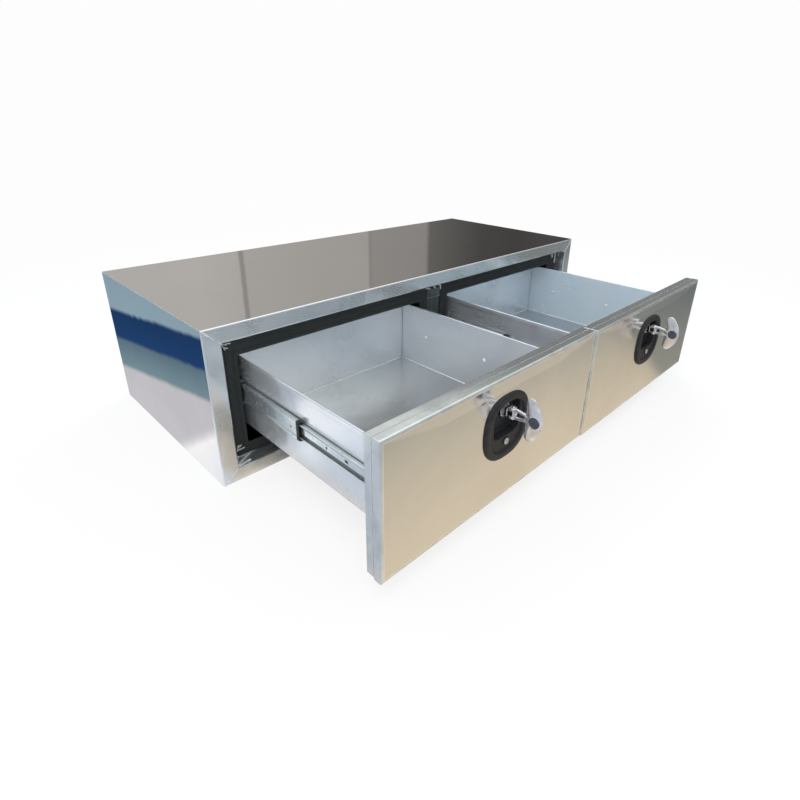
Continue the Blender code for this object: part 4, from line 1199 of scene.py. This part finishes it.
@dataclass
class Slide:
    """One three-member ball slide; across is measured from its cabinet side."""

    hand: Hand
    side: Side
    centre_z: float = 0.159
    metal: float = 0.0012

    def __post_init__(self) -> None:
        """Find the slide's plane and the way from the cabinet to the tray."""
        self.name = f"{self.hand.word}_{self.side.value}"
        low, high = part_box(self.name + "_outer_member")
        self.sign = self.hand.value * (-1 if self.side is Side.OUTBOARD else 1)
        self.plane = low.x if self.sign > 0 else high.x

    def build(self) -> None:
        """Make the members, screws, clip and cages."""
        self._member("outer_member", "cabinet", mm((11.2, 20.9), (10.8, 22.85), (0, 22.85)))
        self._member("middle_member", f"{self.name}_middle",
                     mm((11.7, 16.6), (11.3, 18.45), (2.2, 18.45), (2.2, 11.4), (3.4, 10.0)),
                     holes=(0.018, 0.038, 0.094, 0.126, 0.21, 0.33), reach=(-0.004, 0.006))
        self._member("inner_member", f"{self.hand.word}_drawer",
                     mm((4.6, 11.8), (5.0, 14.05), (12.7, 14.05), (12.7, 7.4), (9.6, 5.8)), -1,
                     0.0004, (0.018, 0.084, 0.135, 0.235, 0.305, 0.420), (0.0060, 0.0160))
        self._screws()
        self._clip()
        self._cage("outer_cage", 0.02005, 0.0015, 0.0065)
        self._cage("inner_cage", 0.01565, 0.0038, 0.0075)

    def _across(self, across: Grid | float) -> Grid | float:
        """Distances across the slide as X."""
        return self.plane + self.sign * across

    def _flat(self, line: Grid) -> Grid:
        """A line of (across, up) as X and Z."""
        return np.stack([self._across(line[:, 0]), self.centre_z + line[:, 1]], 1)

    def _extrude(self, faces: tuple[Grid, Grid], box: tuple[Vector, Vector]) -> list[Patch]:
        """A section carried along Y through a box."""
        along = np.linspace(box[0].y, box[1].y, 3)
        return slab(*[lift(self._flat(face)[:, None], "XZ", along) for face in faces])

    def _peg(self, ring: Grid, reach: Pair) -> list[Patch]:
        """A form that cuts a ring of (y, z) through a web, from one distance to another."""
        return bar(lift(ring[:, None], "YZ", sorted(self._across(np.array(reach)))))

    def _member(self, kind: str, body: str, half_line: Grid, side: int = 1,
                fold: float = 0.0005, holes: tuple[float, ...] = (),
                reach: Pair = (0, 0)) -> None:
        """A member from its section's upper half, with round holes and slots by turns.

        Args:
            kind: Which member it is.
            body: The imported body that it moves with.
            half_line: Upper half of its section, as (across, up).
            side: Side of that line that the sheet lies on.
            fold: Radius on the inside of its folds.
            holes: Distances of its holes from its front end.
            reach: Where the holes start and end, across.
        """
        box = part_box(f"{self.name}_{kind}")
        line = np.vstack([half_line, half_line[::-1] * (1, -1)])
        faces = sheet_section(line, side, fold, self.metal)
        cuts = []
        for index, step in enumerate(holes):
            half = (0.0042 if index % 2 else 0.0025, 0.0025)
            ring = rectangle_ring((box[0].y + step, self.centre_z), half, 0.00245, 5)
            cuts += self._peg(ring, reach)
        Piece(f"{self.name}_{kind}_zinc", self._extrude(faces, box), ZINC, body,
              (f"{self.name}_{kind}",), edge=0.0002, cuts=cuts).place()

    def _screws(self) -> None:
        """Domed screw heads with a cross recess, on the tray's wall."""
        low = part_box(f"{self.name}_inner_member")[0]
        seat = 0.0127 + 3 * FIT + SHEET
        dome = mm((0.0001, 2.1), (1.5, 2.05), (2.9, 1.7), (4.0, 1.05), (4.6, 0.3), (4.6, 0.0),
                  (2.0, 0.0), (2.0, -8.0), (0.0001, -8.0))
        profile = np.stack([dome[:, 0], self._across(seat + dome[:, 1])], 1)
        slot = mm((2.1, -0.4), (2.1, 0.4), (-2.1, 0.4), (-2.1, -0.4))
        heads, cuts = [], []
        for step in (0.175, 0.355):
            heads += lathe(profile, (0, low.y + step, self.centre_z), "X", 24)
            for turn in (0.4, 0.4 + QUARTER):
                spin = compass(np.array([turn, turn + QUARTER]))
                cuts += self._peg(slot @ spin + (low.y + step, self.centre_z),
                                  (seat + 0.0011, seat + 0.0040))
        Piece(f"{self.name}_screws", heads, BRIGHT, f"{self.hand.word}_drawer",
              cuts=cuts).place()

    def _clip(self) -> None:
        """Black end clip: a frame round the inner member with an ear above and below."""
        low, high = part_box(f"{self.name}_end_clip")
        ring = mm((12.2, 14.9), (12.2, 18.0), (10.8, 19.2), (4.6, 19.2), (2.4, 17.4),
                  (2.4, -17.4), (4.6, -19.2), (10.8, -19.2), (12.2, -18.0), (12.2, -14.9),
                  (4.2, -14.9), (4.2, 14.9))
        patches = bar(lift(self._flat(ring)[:, None], "XZ", (low.y, high.y)))
        for sign, out in ((1, 0.0080), (-1, 0.0015)):
            z = self.centre_z + sign * 0.0182
            path = np.array([(self._across(0.0078), high.y - 0.001, z - sign * 0.0010),
                             (self._across(0.0084), low.y + 0.002, z),
                             (self._across(0.0096), low.y - out, z + sign * 0.0008)])
            patches += tube(path, mm(2.4, 2.2, 1.3), 10, 0.6)
        Piece(f"{self.name}_end_clip_moulding", patches, PLASTIC, f"{self.name}_middle",
              (f"{self.name}_end_clip",), edge=0.0004).place()

    def _cage(self, kind: str, half: float, start: float, row: float) -> None:
        """Ball cage: a thin channel whose rims hold rows of balls in bulged pockets.

        Args:
            kind: Which cage it is.
            half: Half the height between its rows of balls.
            start: Where its web is, across.
            row: Where its balls are, across.
        """
        name = f"{self.name}_{kind}"
        low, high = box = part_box(name)
        reach, gauge, ball_radius, pockets, margin = 0.0105, 0.0006, 0.00148, 16, 0.008
        line = np.array([(reach, half), (start, half), (start, -half), (reach, -half)])
        patches = self._extrude(sheet_section(line, 1, 0.0004, gauge), box)
        turn = np.linspace(0, math.pi, 7)
        ball = np.stack([np.maximum(np.sin(turn), 0.0003), -np.cos(turn)], 1) * ball_radius
        for y in np.linspace(low.y + margin, high.y - margin, pockets):
            for z in (self.centre_z - half, self.centre_z + half):
                patches += lathe(ball, (self._across(row), y, z), "Z", 10)
        Piece(name + "_balls", patches, CAGE, name, (name,)).place()


# Drawers


@dataclass
class Drawer:
    """One drawer: tray, hemmed walls, and a front of two folded pans."""

    hand: Hand
    hem_height: float = 0.010
    cup_half: Pair = (0.0373, 0.03355)
    cup_centre_z: float = 0.19125
    cup_radius: float = 0.0163
    journal_radius: float = 0.0081
    rotor_z: float = 0.207
    pan_gap: float = 0.0014

    def __post_init__(self) -> None:
        """Find the drawer's names, and the lock's place in the middle of the front."""
        self.word = self.hand.word
        self.body = f"{self.word}_drawer"
        self.lock_x = middle(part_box(f"{self.word}_drawer_front_skin"), "XZ")[0][0]

    def build(self) -> None:
        """Make the tray, and the two pans of the front with their holes."""
        for side in Side:
            self._wall(side)
        self._floor_and_back()
        radius = self.journal_radius
        cup = rectangle_ring((self.lock_x, self.cup_centre_z), self.cup_half, self.cup_radius)
        journal = rectangle_ring((self.lock_x, self.rotor_z), (radius, radius), radius)
        self._pan("front_skin", cup, True, FRONT_SKIN)
        self._pan("front_liner", journal, False, TRAY_SHEET)

    def _wall(self, side: Side) -> None:
        """Side wall: a sheet with a closed hem outside and a round lower edge.

        Args:
            side: Which of the two walls it is.
        """
        node = f"{self.word}_drawer_{side.value}_wall"
        low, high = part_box(node)
        outboard = side is Side.OUTBOARD
        outwards = self.hand.value if outboard else -self.hand.value
        inner = low.x if outwards > 0 else high.x
        width, hem_low = high.x - low.x, high.z - self.hem_height
        corners = [(0, low.z), (SHEET, low.z), (SHEET, hem_low), (width, hem_low),
                   (width, high.z), (0, high.z)]
        ring, _ = bend(corners, mm(0.2, 1.6, 0.2, 0.9, 1.9, 1.7), True, 4)
        flat = (inner, 0) + ring * (outwards, 1)
        points = lift(flat[:, None], "XZ", np.linspace(low.y, high.y, 3))
        # The right drawer's outboard wall takes the bluish sheet, a painted reflection of the sky.
        blue = outboard and self.hand is Hand.RIGHT
        Piece(node + "_sheet", bar(points), TRAY_SKY_REFLECTION if blue else TRAY_SHEET, self.body,
              (node,), edge=0.0002).place()

    def _floor_and_back(self) -> None:
        """Floor and back wall, with the bright joint that runs round the floor."""
        floor, back = f"{self.word}_drawer_floor", f"{self.word}_drawer_back_wall"
        low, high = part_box(floor)
        ring = rectangle_ring(*middle((low, high), "XY"), 0.001)
        Piece(floor + "_sheet", plate(ring, "XY", low.z, high.z, 0.0004, 2), TRAY_FLOOR,
              self.body, (floor,)).place()
        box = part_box(back)
        ring = rectangle_ring(*middle(box, "XZ"), 0.001)
        Piece(f"{self.word}_drawer_back_sheet", plate(ring, "XZ", box[0].y, box[1].y, 0.0006, 3),
              TRAY_SHEET, self.body, (back,)).place()
        seams = []
        corners = [(x, y, high.z + 0.0003) for x, y in ((low.x, low.y), (low.x, high.y),
                                                       (high.x, high.y), (high.x, low.y))]
        for index in range(3):
            seams += weld_bead(corners[index], corners[index + 1], 0.0014, index, 0.006)
        Piece(floor + "_seam", seams, BRIGHT, self.body).place()

    def _pan(self, kind: str, hole: Grid, front: bool, finish: Finish) -> None:
        """A folded pan with a hole: rings go from the hole over the fold to the rim and back.

        Args:
            kind: Which pan it is.
            hole: The ring round its hole.
            front: Whether it opens backwards, as the front's outer pan does.
            finish: Finish of its flat part.
        """
        name, node = f"{self.word}_{kind}_pan", f"{self.word}_drawer_{kind}"
        low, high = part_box(node)
        size = middle((low, high), "XZ")
        depth = high.y - low.y - (0 if front else self.pan_gap)
        outer, inner = sheet_section([(0.0045, 0), (0, 0), (0, depth)], 1, 0.0010)
        inner = inner[::-1]
        rings = np.concatenate([hole[:, None], nested_rings(*size, outer[:, 0], 0.003),
                                nested_rings(*size, inner[:, 0], 0.0015), hole[:, None]], 1)
        depths = np.concatenate([[0.0], outer[:, 1], inner[:, 1], [SHEET]])
        points = lift(rings, "XZ", low.y + depths if front else high.y - depths)
        Piece(name, hoop(points[:, [0, 1, -2, -1]]), finish, self.body, (node,)).place()
        Piece(name + "_rim", hoop(points[:, 1:-1]), RIM_SKIN, self.body).place()


# Locks


@dataclass
class Lock:
    """Folding T-handle lock; heights above the drawer's face are towards the front.

    Rotor and handle are drawn with the hinge pin along X, and turned puts it upright.
    """

    drawer: Drawer
    pin_proud: float = 0.010
    tongue_half: float = 0.004
    fork_inner: float = 0.0043
    fork_outer: float = 0.0103
    handle_half: float = 0.0045
    tail_inner: float = 0.0345
    tail_outer: float = 0.0655
    tail_radius: float = 0.0500
    tail_tip: float = 0.0090
    barrel_centre: float = 0.0530

    def __post_init__(self) -> None:
        """Find the lock's axis and its turned frame."""
        self.word = self.drawer.word
        self.face_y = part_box(f"{self.word}_drawer_front_skin")[0].y
        self.x, self.axis_z = self.drawer.lock_x, self.drawer.rotor_z
        self.turned = (Matrix.Translation((self.x, self.face_y, self.axis_z))
                       @ Matrix.Rotation(-QUARTER, 4, "Y"))

    def build(self) -> None:
        """Make every piece of the lock."""
        self._dish()
        self._keeper()
        self._rotor()
        self._handle()
        self._barrel()
        dress_node(f"{self.word}_lock_clamp_plate", ZINC)
        dress_node(f"{self.word}_lock_pawl", ZINC)

    def _place(self, name: str, patches: list[Patch], finish: Finish, body: str,
               node: str = "", cuts: tuple[Patch, ...] = ()) -> None:
        """Place a piece of the lock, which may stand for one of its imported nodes.

        Args:
            name: The piece's name after the lock's.
            patches: Its surfaces.
            finish: What it is made of.
            body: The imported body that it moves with, after the bay's name.
            node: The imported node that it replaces, after the lock's name, or none.
            cuts: Closed forms that are cut out of it.
        """
        Piece(f"{self.word}_lock_{name}", patches, finish, f"{self.word}_{body}",
              (f"{self.word}_lock_{node}",) if node else (), cuts=list(cuts)).place()

    def _dish(self) -> None:
        """Dish: rings go up the rim, down to the pocket, down the cup, and back behind."""
        centre, cup = (self.x, 0.1786), (self.x, self.drawer.cup_centre_z)
        rim = mm((59.5, 0.0), (59.5, 1.3), (59.1, 2.7), (58.0, 3.9), (56.2, 4.7), (53.8, 5.0),
                 (50.5, 5.0), (48.4, 4.8), (47.2, 4.3), (46.6, 3.5), (46.3, 1.7), (45.6, 1.1))
        well = mm((36.2, 1.1), (35.5, 0.8), (35.1, 0.2), (35.0, -0.8), (34.4, -13.6),
                  (33.9, -15.0), (32.8, -15.8), (31.0, -16.0))
        journal = mm((16.0, -16.0), (15.0, -15.4), (14.0, -15.4), (8.1, -15.4), (8.1, -18.0))
        back = mm((36.9, -18.0), (36.9, 0.0))
        cup_taller = -0.00375
        parts = ((rim, centre, 0.0005, 2.5), (well, cup, cup_taller, 5.0),
                 (journal, (self.x, self.axis_z), 0.0, 2.0), (back, cup, cup_taller, 5.0))
        rings = [superellipse(place, (radius, radius + taller), power)
                 for profile, place, taller, power in parts for radius in profile[:, 0]]
        heights = np.concatenate([profile for profile, *_ in parts])[:, 1]
        points = lift(np.stack(rings, 1), "XZ", self.face_y - heights)
        self._place("dish_casting", hoop(points), CASTING, "drawer", "dish")

    def _keeper(self) -> None:
        """Black boss in the pocket with a bright button set in it."""
        centre = (self.x, self.face_y, self.axis_z - 0.0575)
        boss = mm((0.0001, -3.0), (6.2, -3.0), (6.4, -3.5), (6.9, -3.5), (7.4, -3.0),
                  (7.8, -1.1), (0.0001, -1.1))
        button = mm((0.0001, -3.9), (2.0, -3.95), (2.6, -3.2), (3.6, -3.2), (4.2, -4.1),
                    (5.5, -4.1), (6.1, -3.6), (6.1, -2.9), (0.0001, -2.9))
        self._place("keeper_boss", lathe(boss, centre, "Y", 32), CASTING, "drawer")
        self._place("keeper_button", lathe(button, centre, "Y", 32), BUTTON, "drawer")

    def _rotor(self) -> None:
        """Hub with a stepped face, square knuckle, journal and spindle, and the hinge pin."""
        hub = mm((0.0001, 4.1), (9.0, 4.1), (9.6, 4.4), (10.1, 5.6), (11.7, 5.8), (12.2, 5.0),
                 (12.8, 5.3), (12.95, 6.2), (12.95, 15.6), (8.0, 15.6), (8.0, 32.3),
                 (0.0001, 32.3))
        self._place("hub", moved(lathe(hub, (0, 0, 0), "Y", 48), self.turned), HUB, "rotor")
        block = rectangle_ring((0, 0), (0.0074, 0.0074), 0.0012)
        patches = plate(block, "XZ", -0.0029, 0.0050, 0.0011, 3)
        steps, windings = 90, 2.75
        coil = (0.0012, -0.0104) + 0.0032 * compass(np.linspace(0, windings * 2 * math.pi, steps))
        patches += tube(lift(coil, "YZ", np.linspace(-0.0098, -0.0048, steps)), 0.0006, 8)
        knuckle = bend(mm((6.0, -6.2), (6.0, 6.2), (-16.3, 6.2), (-16.3, -6.2)),
                       mm(1.2, 1.2, 4.0, 4.0), True, 5)[0]
        patches += plate(knuckle, "YZ", -self.tongue_half, self.tongue_half, 0.0007, 3)
        square = rectangle_ring((0, 0), (0.0045, 0.0045), 0.0004)
        patches += plate(square, "XZ", 0.0315, 0.0445, 0.0004, 2)
        self._place("rotor_chrome", moved(patches, self.turned), CHROME, "rotor", "rotor")
        end = mm((0.1, 0.8), (1.6, 0.7), (2.4, 0.1)) + (0, self.fork_outer)
        pin = lathe(np.vstack([end * (1, -1), end[::-1]]), (0, -self.pin_proud, 0), "X", 24)
        self._place("hinge_rivet", moved(pin, self.turned), CHROME, "rotor", "hinge_pin")

    def _tail_outline(self) -> Grid:
        """Whale tail: a shallow arc outside, a slightly hollow chord inside, round tips.

        Returns:
            The closed outline, (N, 2), from the left tip round the outside.
        """
        centre_y = -self.tail_outer + self.tail_radius
        tip_y = -self.tail_inner - self.tail_tip
        reach = self.tail_radius - self.tail_tip
        tip_x = math.sqrt(reach ** 2 - (centre_y - tip_y) ** 2)
        lean = math.atan2(tip_y - centre_y, tip_x)
        left = arc((-tip_x, tip_y), self.tail_tip, math.pi - lean, QUARTER, 10)[::-1]
        outer = arc((0, centre_y), self.tail_radius, -math.pi - lean, lean, 56)
        right = arc((tip_x, tip_y), self.tail_tip, lean, QUARTER, 10)
        x = np.linspace(tip_x, -tip_x, 25)[1:-1]
        sag = 0.0012 * np.sin((x / tip_x + 1) * QUARTER * 2) ** 2
        chord = np.stack([x, -self.tail_inner - sag * (np.abs(x) > 0.011)], 1)
        return np.vstack([left, outer[1:-1], right, chord])

    def _handle(self) -> None:
        """Handle folded out: pillowed tail, neck, and two fork arms with round eyes.

        The tail is its outline drawn in towards the middle by a share; its height there
        is the root of one less the share cubed.
        """
        shrink = np.sin(np.linspace(0, QUARTER, 15))
        share = np.concatenate([shrink, shrink[-2::-1]])
        side = np.sign(np.arange(len(share)) - len(shrink) + 1)
        height = side * self.handle_half * np.sqrt(np.clip(1 - share ** 3, 0, 1))
        centre = np.array([0.0, -0.0505])
        rings = centre + (self._tail_outline()[:, None] - centre) * np.clip(share, 0.06, 1)[:, None]
        patches = bar(lift(rings, "XY", height))
        near, far = self.fork_inner, self.fork_outer
        eye = np.array([(0.0001, near), (0.0049, near), (0.0060, near + 0.0010),
                        (0.0062, 0.0073), (0.0060, far - 0.0010), (0.0049, far), (0.0001, far)])
        arm = mm((7.3, -11, 0), (7.2, -17, 0), (6.6, -23, 0), (5.2, -30, 0), (4.4, -37, 0),
                 (4.2, -41, 0))
        for sign in (-1, 1):
            patches += lathe(eye * (1, sign), (0, -self.pin_proud, 0), "X", 28)
            patches += tube(arm * (sign, 1, 1), mm(2.9, 2.9, 3.0, 3.3, 4.0, 4.0), 16)
        well = mm((0.1, -8), (9.45, -8), (9.45, 3.8), (10.1, 4.9), (10.1, 8), (0.1, 8))
        well = lathe(well, (0, -self.barrel_centre, 0), "Z", 48)
        self._place("handle_chrome", moved(patches, self.turned), SATIN, "handle", "handle",
                    moved(well, self.turned))

    def _barrel(self) -> None:
        """Key barrel under a dark dust cover with a raised rim and a finger groove."""
        half = self.handle_half
        bottom = mm((0.1, 0.4), (9.0, 0.4), (9.3, 0.8)) - (0, half)
        top = mm((9.3, -0.1), (9.0, 0.3), (8.3, 0.4), (7.9, 0), (6.0, -0.1), (3.0, 0.1),
                 (0.1, 0.2)) + (0, half)
        cap = lathe(np.vstack([bottom, top]), (0, -self.barrel_centre, 0), "Z", 48)
        groove = plate(rectangle_ring((0, -self.barrel_centre), (0.0036, 0.0007), 0.0006), "XY",
                       half - 0.0006, half + 0.003, 0.0002, 2)
        self._place("barrel_cap", moved(cap, self.turned), BARREL, "key_barrel", "key_barrel",
                    moved(groove, self.turned))


# Studio


def stage_mesh(name: str, grid: Grid, material: bpy.types.Material,
               only_mirrored: bool) -> None:
    """Put a grid on the stage; a mirrored one is seen by glossy rays alone.

    Args:
        name: Its name.
        grid: Its points, (U, V, 3).
        material: Its material.
        only_mirrored: Whether only glossy rays see it.
    """
    mesh = bpy.data.meshes.new(name)
    mesh.from_pydata(grid.reshape(-1, 3).tolist(), [], Patch(grid).faces(0))
    mesh.materials.append(material)
    obj = linked(name, mesh)
    if only_mirrored:
        for rays in ("camera", "diffuse", "shadow", "transmission"):
            setattr(obj, "visible_" + rays, False)


def level_square(half: float, z: float) -> Grid:
    """A level square round the origin."""
    span = np.linspace(-half, half, 2)
    return lift(np.stack(np.meshgrid(span, span, indexing="ij"), -1), "XY", z)


def unlit(name: str) -> tuple[bpy.types.Material, Tree, Socket]:
    """A material without its usual shader, its nodes, and its surface input.

    Args:
        name: The material's name.

    Returns:
        The material, what adds nodes to it, and the input that its light goes into.
    """
    material, nodes = new_material(name)
    tree = material.node_tree
    tree.nodes.remove(tree.nodes["Principled BSDF"])
    return material, nodes, tree.nodes["Material Output"].inputs["Surface"]


@dataclass(frozen=True)
class Studio:
    """Floor, sky, lamps and camera, and glowing cards that paint the shop's reflection in the
    bright sheet.
    """

    camera_at: Triple = (-0.9133, -1.0611, 0.6298)
    view_right: Triple = (0.7022, -0.7117, 0.0204)
    view_up: Triple = (0.2704, 0.2930, 0.9171)
    lens_mm: float = 23.258
    shift: Pair = (-0.02516, -0.06056)
    backdrop: Triple = (0.985, 0.985, 0.985)

    def build(self) -> None:
        """Set up the whole studio."""
        bpy.context.scene.view_settings.view_transform = "Standard"
        self._camera()
        self._world()
        self._floor()
        self._mirrored_floor()
        self._mirrored_wall()
        self._lamps()

    def _camera(self) -> None:
        """Camera at the photograph's place."""
        data = bpy.data.cameras.new("camera")
        data.lens = self.lens_mm
        data.sensor_width = 36.0
        data.shift_x, data.shift_y = self.shift
        data.clip_end = 200.0
        camera = linked("camera", data)
        right, up = Vector(self.view_right), Vector(self.view_up)
        turn = Matrix((right, up, right.cross(up))).transposed()
        camera.matrix_world = Matrix.Translation(self.camera_at) @ turn.to_4x4()
        bpy.context.scene.camera = camera

    def _world(self) -> None:
        """White to the camera, pale sky in what mirrors, plain soft light on the rest."""
        world = bpy.data.worlds.new("sky")
        bpy.context.scene.world = world
        world.use_nodes = True
        nodes = Tree(world.node_tree)
        path = nodes.add("LightPath").outputs
        ceiling = nodes.ramp(nodes.axes(nodes.place("Generated"))[2],
                             (0.0, (0.46, 0.47, 0.40)), (0.40, (0.52, 0.53, 0.44)),
                             (0.56, (0.70, 0.74, 0.72)), (0.74, (1.05, 1.14, 1.25)),
                             (1.0, (1.15, 1.27, 1.42)))
        colour = nodes.mix(path["Is Glossy Ray"], (0.78, 0.80, 0.84), ceiling)
        for rays in ("Is Transmission Ray", "Is Camera Ray"):
            colour = nodes.mix(path[rays], colour, self.backdrop)
        background = world.node_tree.nodes["Background"].inputs
        nodes.feed(background["Color"], colour)
        background["Strength"].default_value = 1.0

    def _floor(self) -> None:
        """Pale floor that keeps a soft shadow."""
        material, nodes, surface = unlit("floor")
        paint = nodes.add("BsdfDiffuse", {"Color": (0.95, 0.95, 0.95, 1)}).outputs[0]
        glow = nodes.add("Emission", {"Color": (*self.backdrop, 1)}).outputs[0]
        path = nodes.add("LightPath").outputs
        seen = nodes.math("MAXIMUM", path["Is Camera Ray"], nodes.math(
            "MAXIMUM", path["Is Glossy Ray"], path["Is Transmission Ray"]))
        away = nodes.add("VectorMath", {0: nodes.place()}, operation="LENGTH").outputs["Value"]
        plain = nodes.add("MapRange", {0: away, 1: 0.9, 2: 2.4, 3: 0.80, 4: 1.0},
                          interpolation_type="SMOOTHSTEP").outputs[0]
        mixed = nodes.add("MixShader", {0: nodes.times(seen, plain), 1: paint, 2: glow})
        nodes.feed(surface, mixed.outputs[0])
        stage_mesh("floor", level_square(30.0, -0.0005), material, False)

    def _mirrored_floor(self) -> None:
        """Glowing card seen only by glossy rays: the shop floor's painted reflection in the upright
        sheets, warm in front, blue to the left.
        """
        material, nodes, surface = unlit("glowing_floor_reflection")
        x, y, _ = nodes.axes(nodes.place())
        away = nodes.math("SUBTRACT", nodes.times(y, 0.21), nodes.times(x, 0.978))
        left = nodes.ramp(nodes.times(away, 0.7), (0.0, (0.50, 0.50, 0.52)),
                          (0.392, (0.62, 0.61, 0.64)), (0.505, (0.60, 0.58, 0.61)),
                          (0.515, (0.20, 0.29, 0.33)), (0.578, (0.12, 0.19, 0.24)),
                          (0.588, (0.016, 0.055, 0.16)), (0.674, (0.014, 0.045, 0.13)),
                          (0.688, (0.28, 0.39, 0.46)), (1.0, (0.26, 0.35, 0.42)))
        beside = nodes.ramp(nodes.plus(nodes.times(y, -2.0), -0.04), (0.0, (0.62, 0.61, 0.64)),
                            (0.14, (1.08, 1.07, 1.05)), (0.46, (0.93, 0.96, 1.0)),
                            (0.68, (0.50, 0.57, 0.66)), (1.0, (0.46, 0.52, 0.60)))
        patchy = Effect.CLOUDS.use(nodes, nodes.place(), 11.0, 0.45)
        patchy = nodes.mix(patchy, (0.86, 0.90, 0.94), (1.03, 0.99, 0.97))
        beside = nodes.mix(1.0, beside, patchy, "MULTIPLY")
        left = nodes.mix(nodes.span(y, -0.02, -0.08), left, beside)
        front = nodes.ramp(nodes.plus(nodes.times(y, -2.2), -1.2), (0.0, (0.60, 0.52, 0.43)),
                           (0.28, (0.74, 0.63, 0.48)), (0.60, (0.60, 0.53, 0.42)),
                           (0.95, (0.44, 0.42, 0.36)), (1.0, (0.42, 0.41, 0.37)))
        slant = nodes.plus(x, nodes.times(y, 1.3))
        shade = nodes.ramp(nodes.plus(slant, 0.89), (0.0, (1, 1, 1)), (0.40, (0.90, 0.91, 0.92)),
                           (0.48, (0.80, 0.82, 0.84)), (0.54, (0.42, 0.49, 0.56)),
                           (1.0, (0.36, 0.42, 0.50)))
        front = nodes.mix(1.0, front, shade, "MULTIPLY")
        in_front = nodes.span(y, -0.23, -0.27)
        colour = nodes.mix(nodes.times(in_front, nodes.span(x, -0.60, -0.56)), left, front)
        # Painted shadow: where the fronts mirror the floor under the drawers, it is dark.
        width = nodes.math("ABSOLUTE", x)
        under = nodes.times(nodes.span(width, 0.54, 0.44),
                            nodes.times(nodes.span(y, -0.60, -0.50), in_front))
        colour = nodes.mix(under, colour, (0.10, 0.105, 0.105))
        nodes.feed(surface, nodes.add("Emission", {"Color": colour}).outputs[0])
        stage_mesh("glowing_floor_reflection", level_square(9.0, 0.0004), material, True)

    def _mirrored_wall(self) -> None:
        """Glowing ring seen only by glossy rays: the shop wall's painted reflection in the top,
        taupe behind, dark to the right, posts.
        """
        material, nodes, surface = unlit("glowing_wall_reflection")
        place = nodes.axes(nodes.place())
        angle = nodes.math("ARCTAN2", place[0], place[1])
        first, last = 18.0, 60.0
        turn = nodes.span(angle, math.radians(first), math.radians(last))
        tint = (1.03, 0.99, 0.94)
        stops = [(first, 0.45), (21, 0.45), (25.2, 0.42), (25.4, 0.27), (25.7, 0.27), (25.9, 0.39),
                 (39.8, 0.345), (40.0, 0.24), (40.4, 0.27), (46.6, 0.245), (47.0, 0.125),
                 (53.0, 0.065), (57.0, 0.056), (last, 0.065)]
        colours = [((degrees - first) / (last - first), tuple(value * share for share in tint))
                   for degrees, value in stops]
        beyond = nodes.span(angle, math.radians(62), math.radians(130))
        wall = nodes.mix(beyond, nodes.ramp(turn, *colours), (0.46, 0.445, 0.42))
        nodes.feed(surface, nodes.add("Emission", {"Color": wall}).outputs[0])
        radius, heights = 25.0, (-0.01, 14.0)
        ring = radius * compass(QUARTER - np.radians(np.linspace(-180, 180, 73)))
        stage_mesh("glowing_wall_reflection", lift(ring[:, None], "XY", heights), material, True)

    def _lamps(self) -> None:
        """One broad soft lamp over the left and a cooler one from the right."""
        for name, place, aim, size, power, colour in (
                ("sky_lamp", (-1.6, -1.2, 3.2), (0, 0, 0.1), 2.6, 55.0, (1.0, 0.98, 0.95)),
                ("side_lamp", (2.6, 1.2, 2.6), (0, -0.3, 0.1), 2.0, 38.0, (0.90, 0.95, 1.0))):
            data = bpy.data.lights.new(name, "AREA")
            data.size = size
            data.energy = power
            data.color = colour
            lamp = linked(name, data)
            lamp.visible_glossy = False
            lamp.location = place
            aimed = Vector(aim) - Vector(place)
            lamp.rotation_euler = aimed.to_track_quat("-Z", "Y").to_euler()


def main() -> None:
    """Dress the object and set up the studio."""
    logging.basicConfig(level=logging.INFO, format="%(name)s: %(message)s")
    layout = Layout.measured()
    Cabinet(layout).build()
    for hand in Hand:
        Seal(hand, layout).build()
        for side in Side:
            Slide(hand, side).build()
        drawer = Drawer(hand)
        drawer.build()
        Lock(drawer).build()
    Studio().build()


if __name__ == "__main__":
    main()
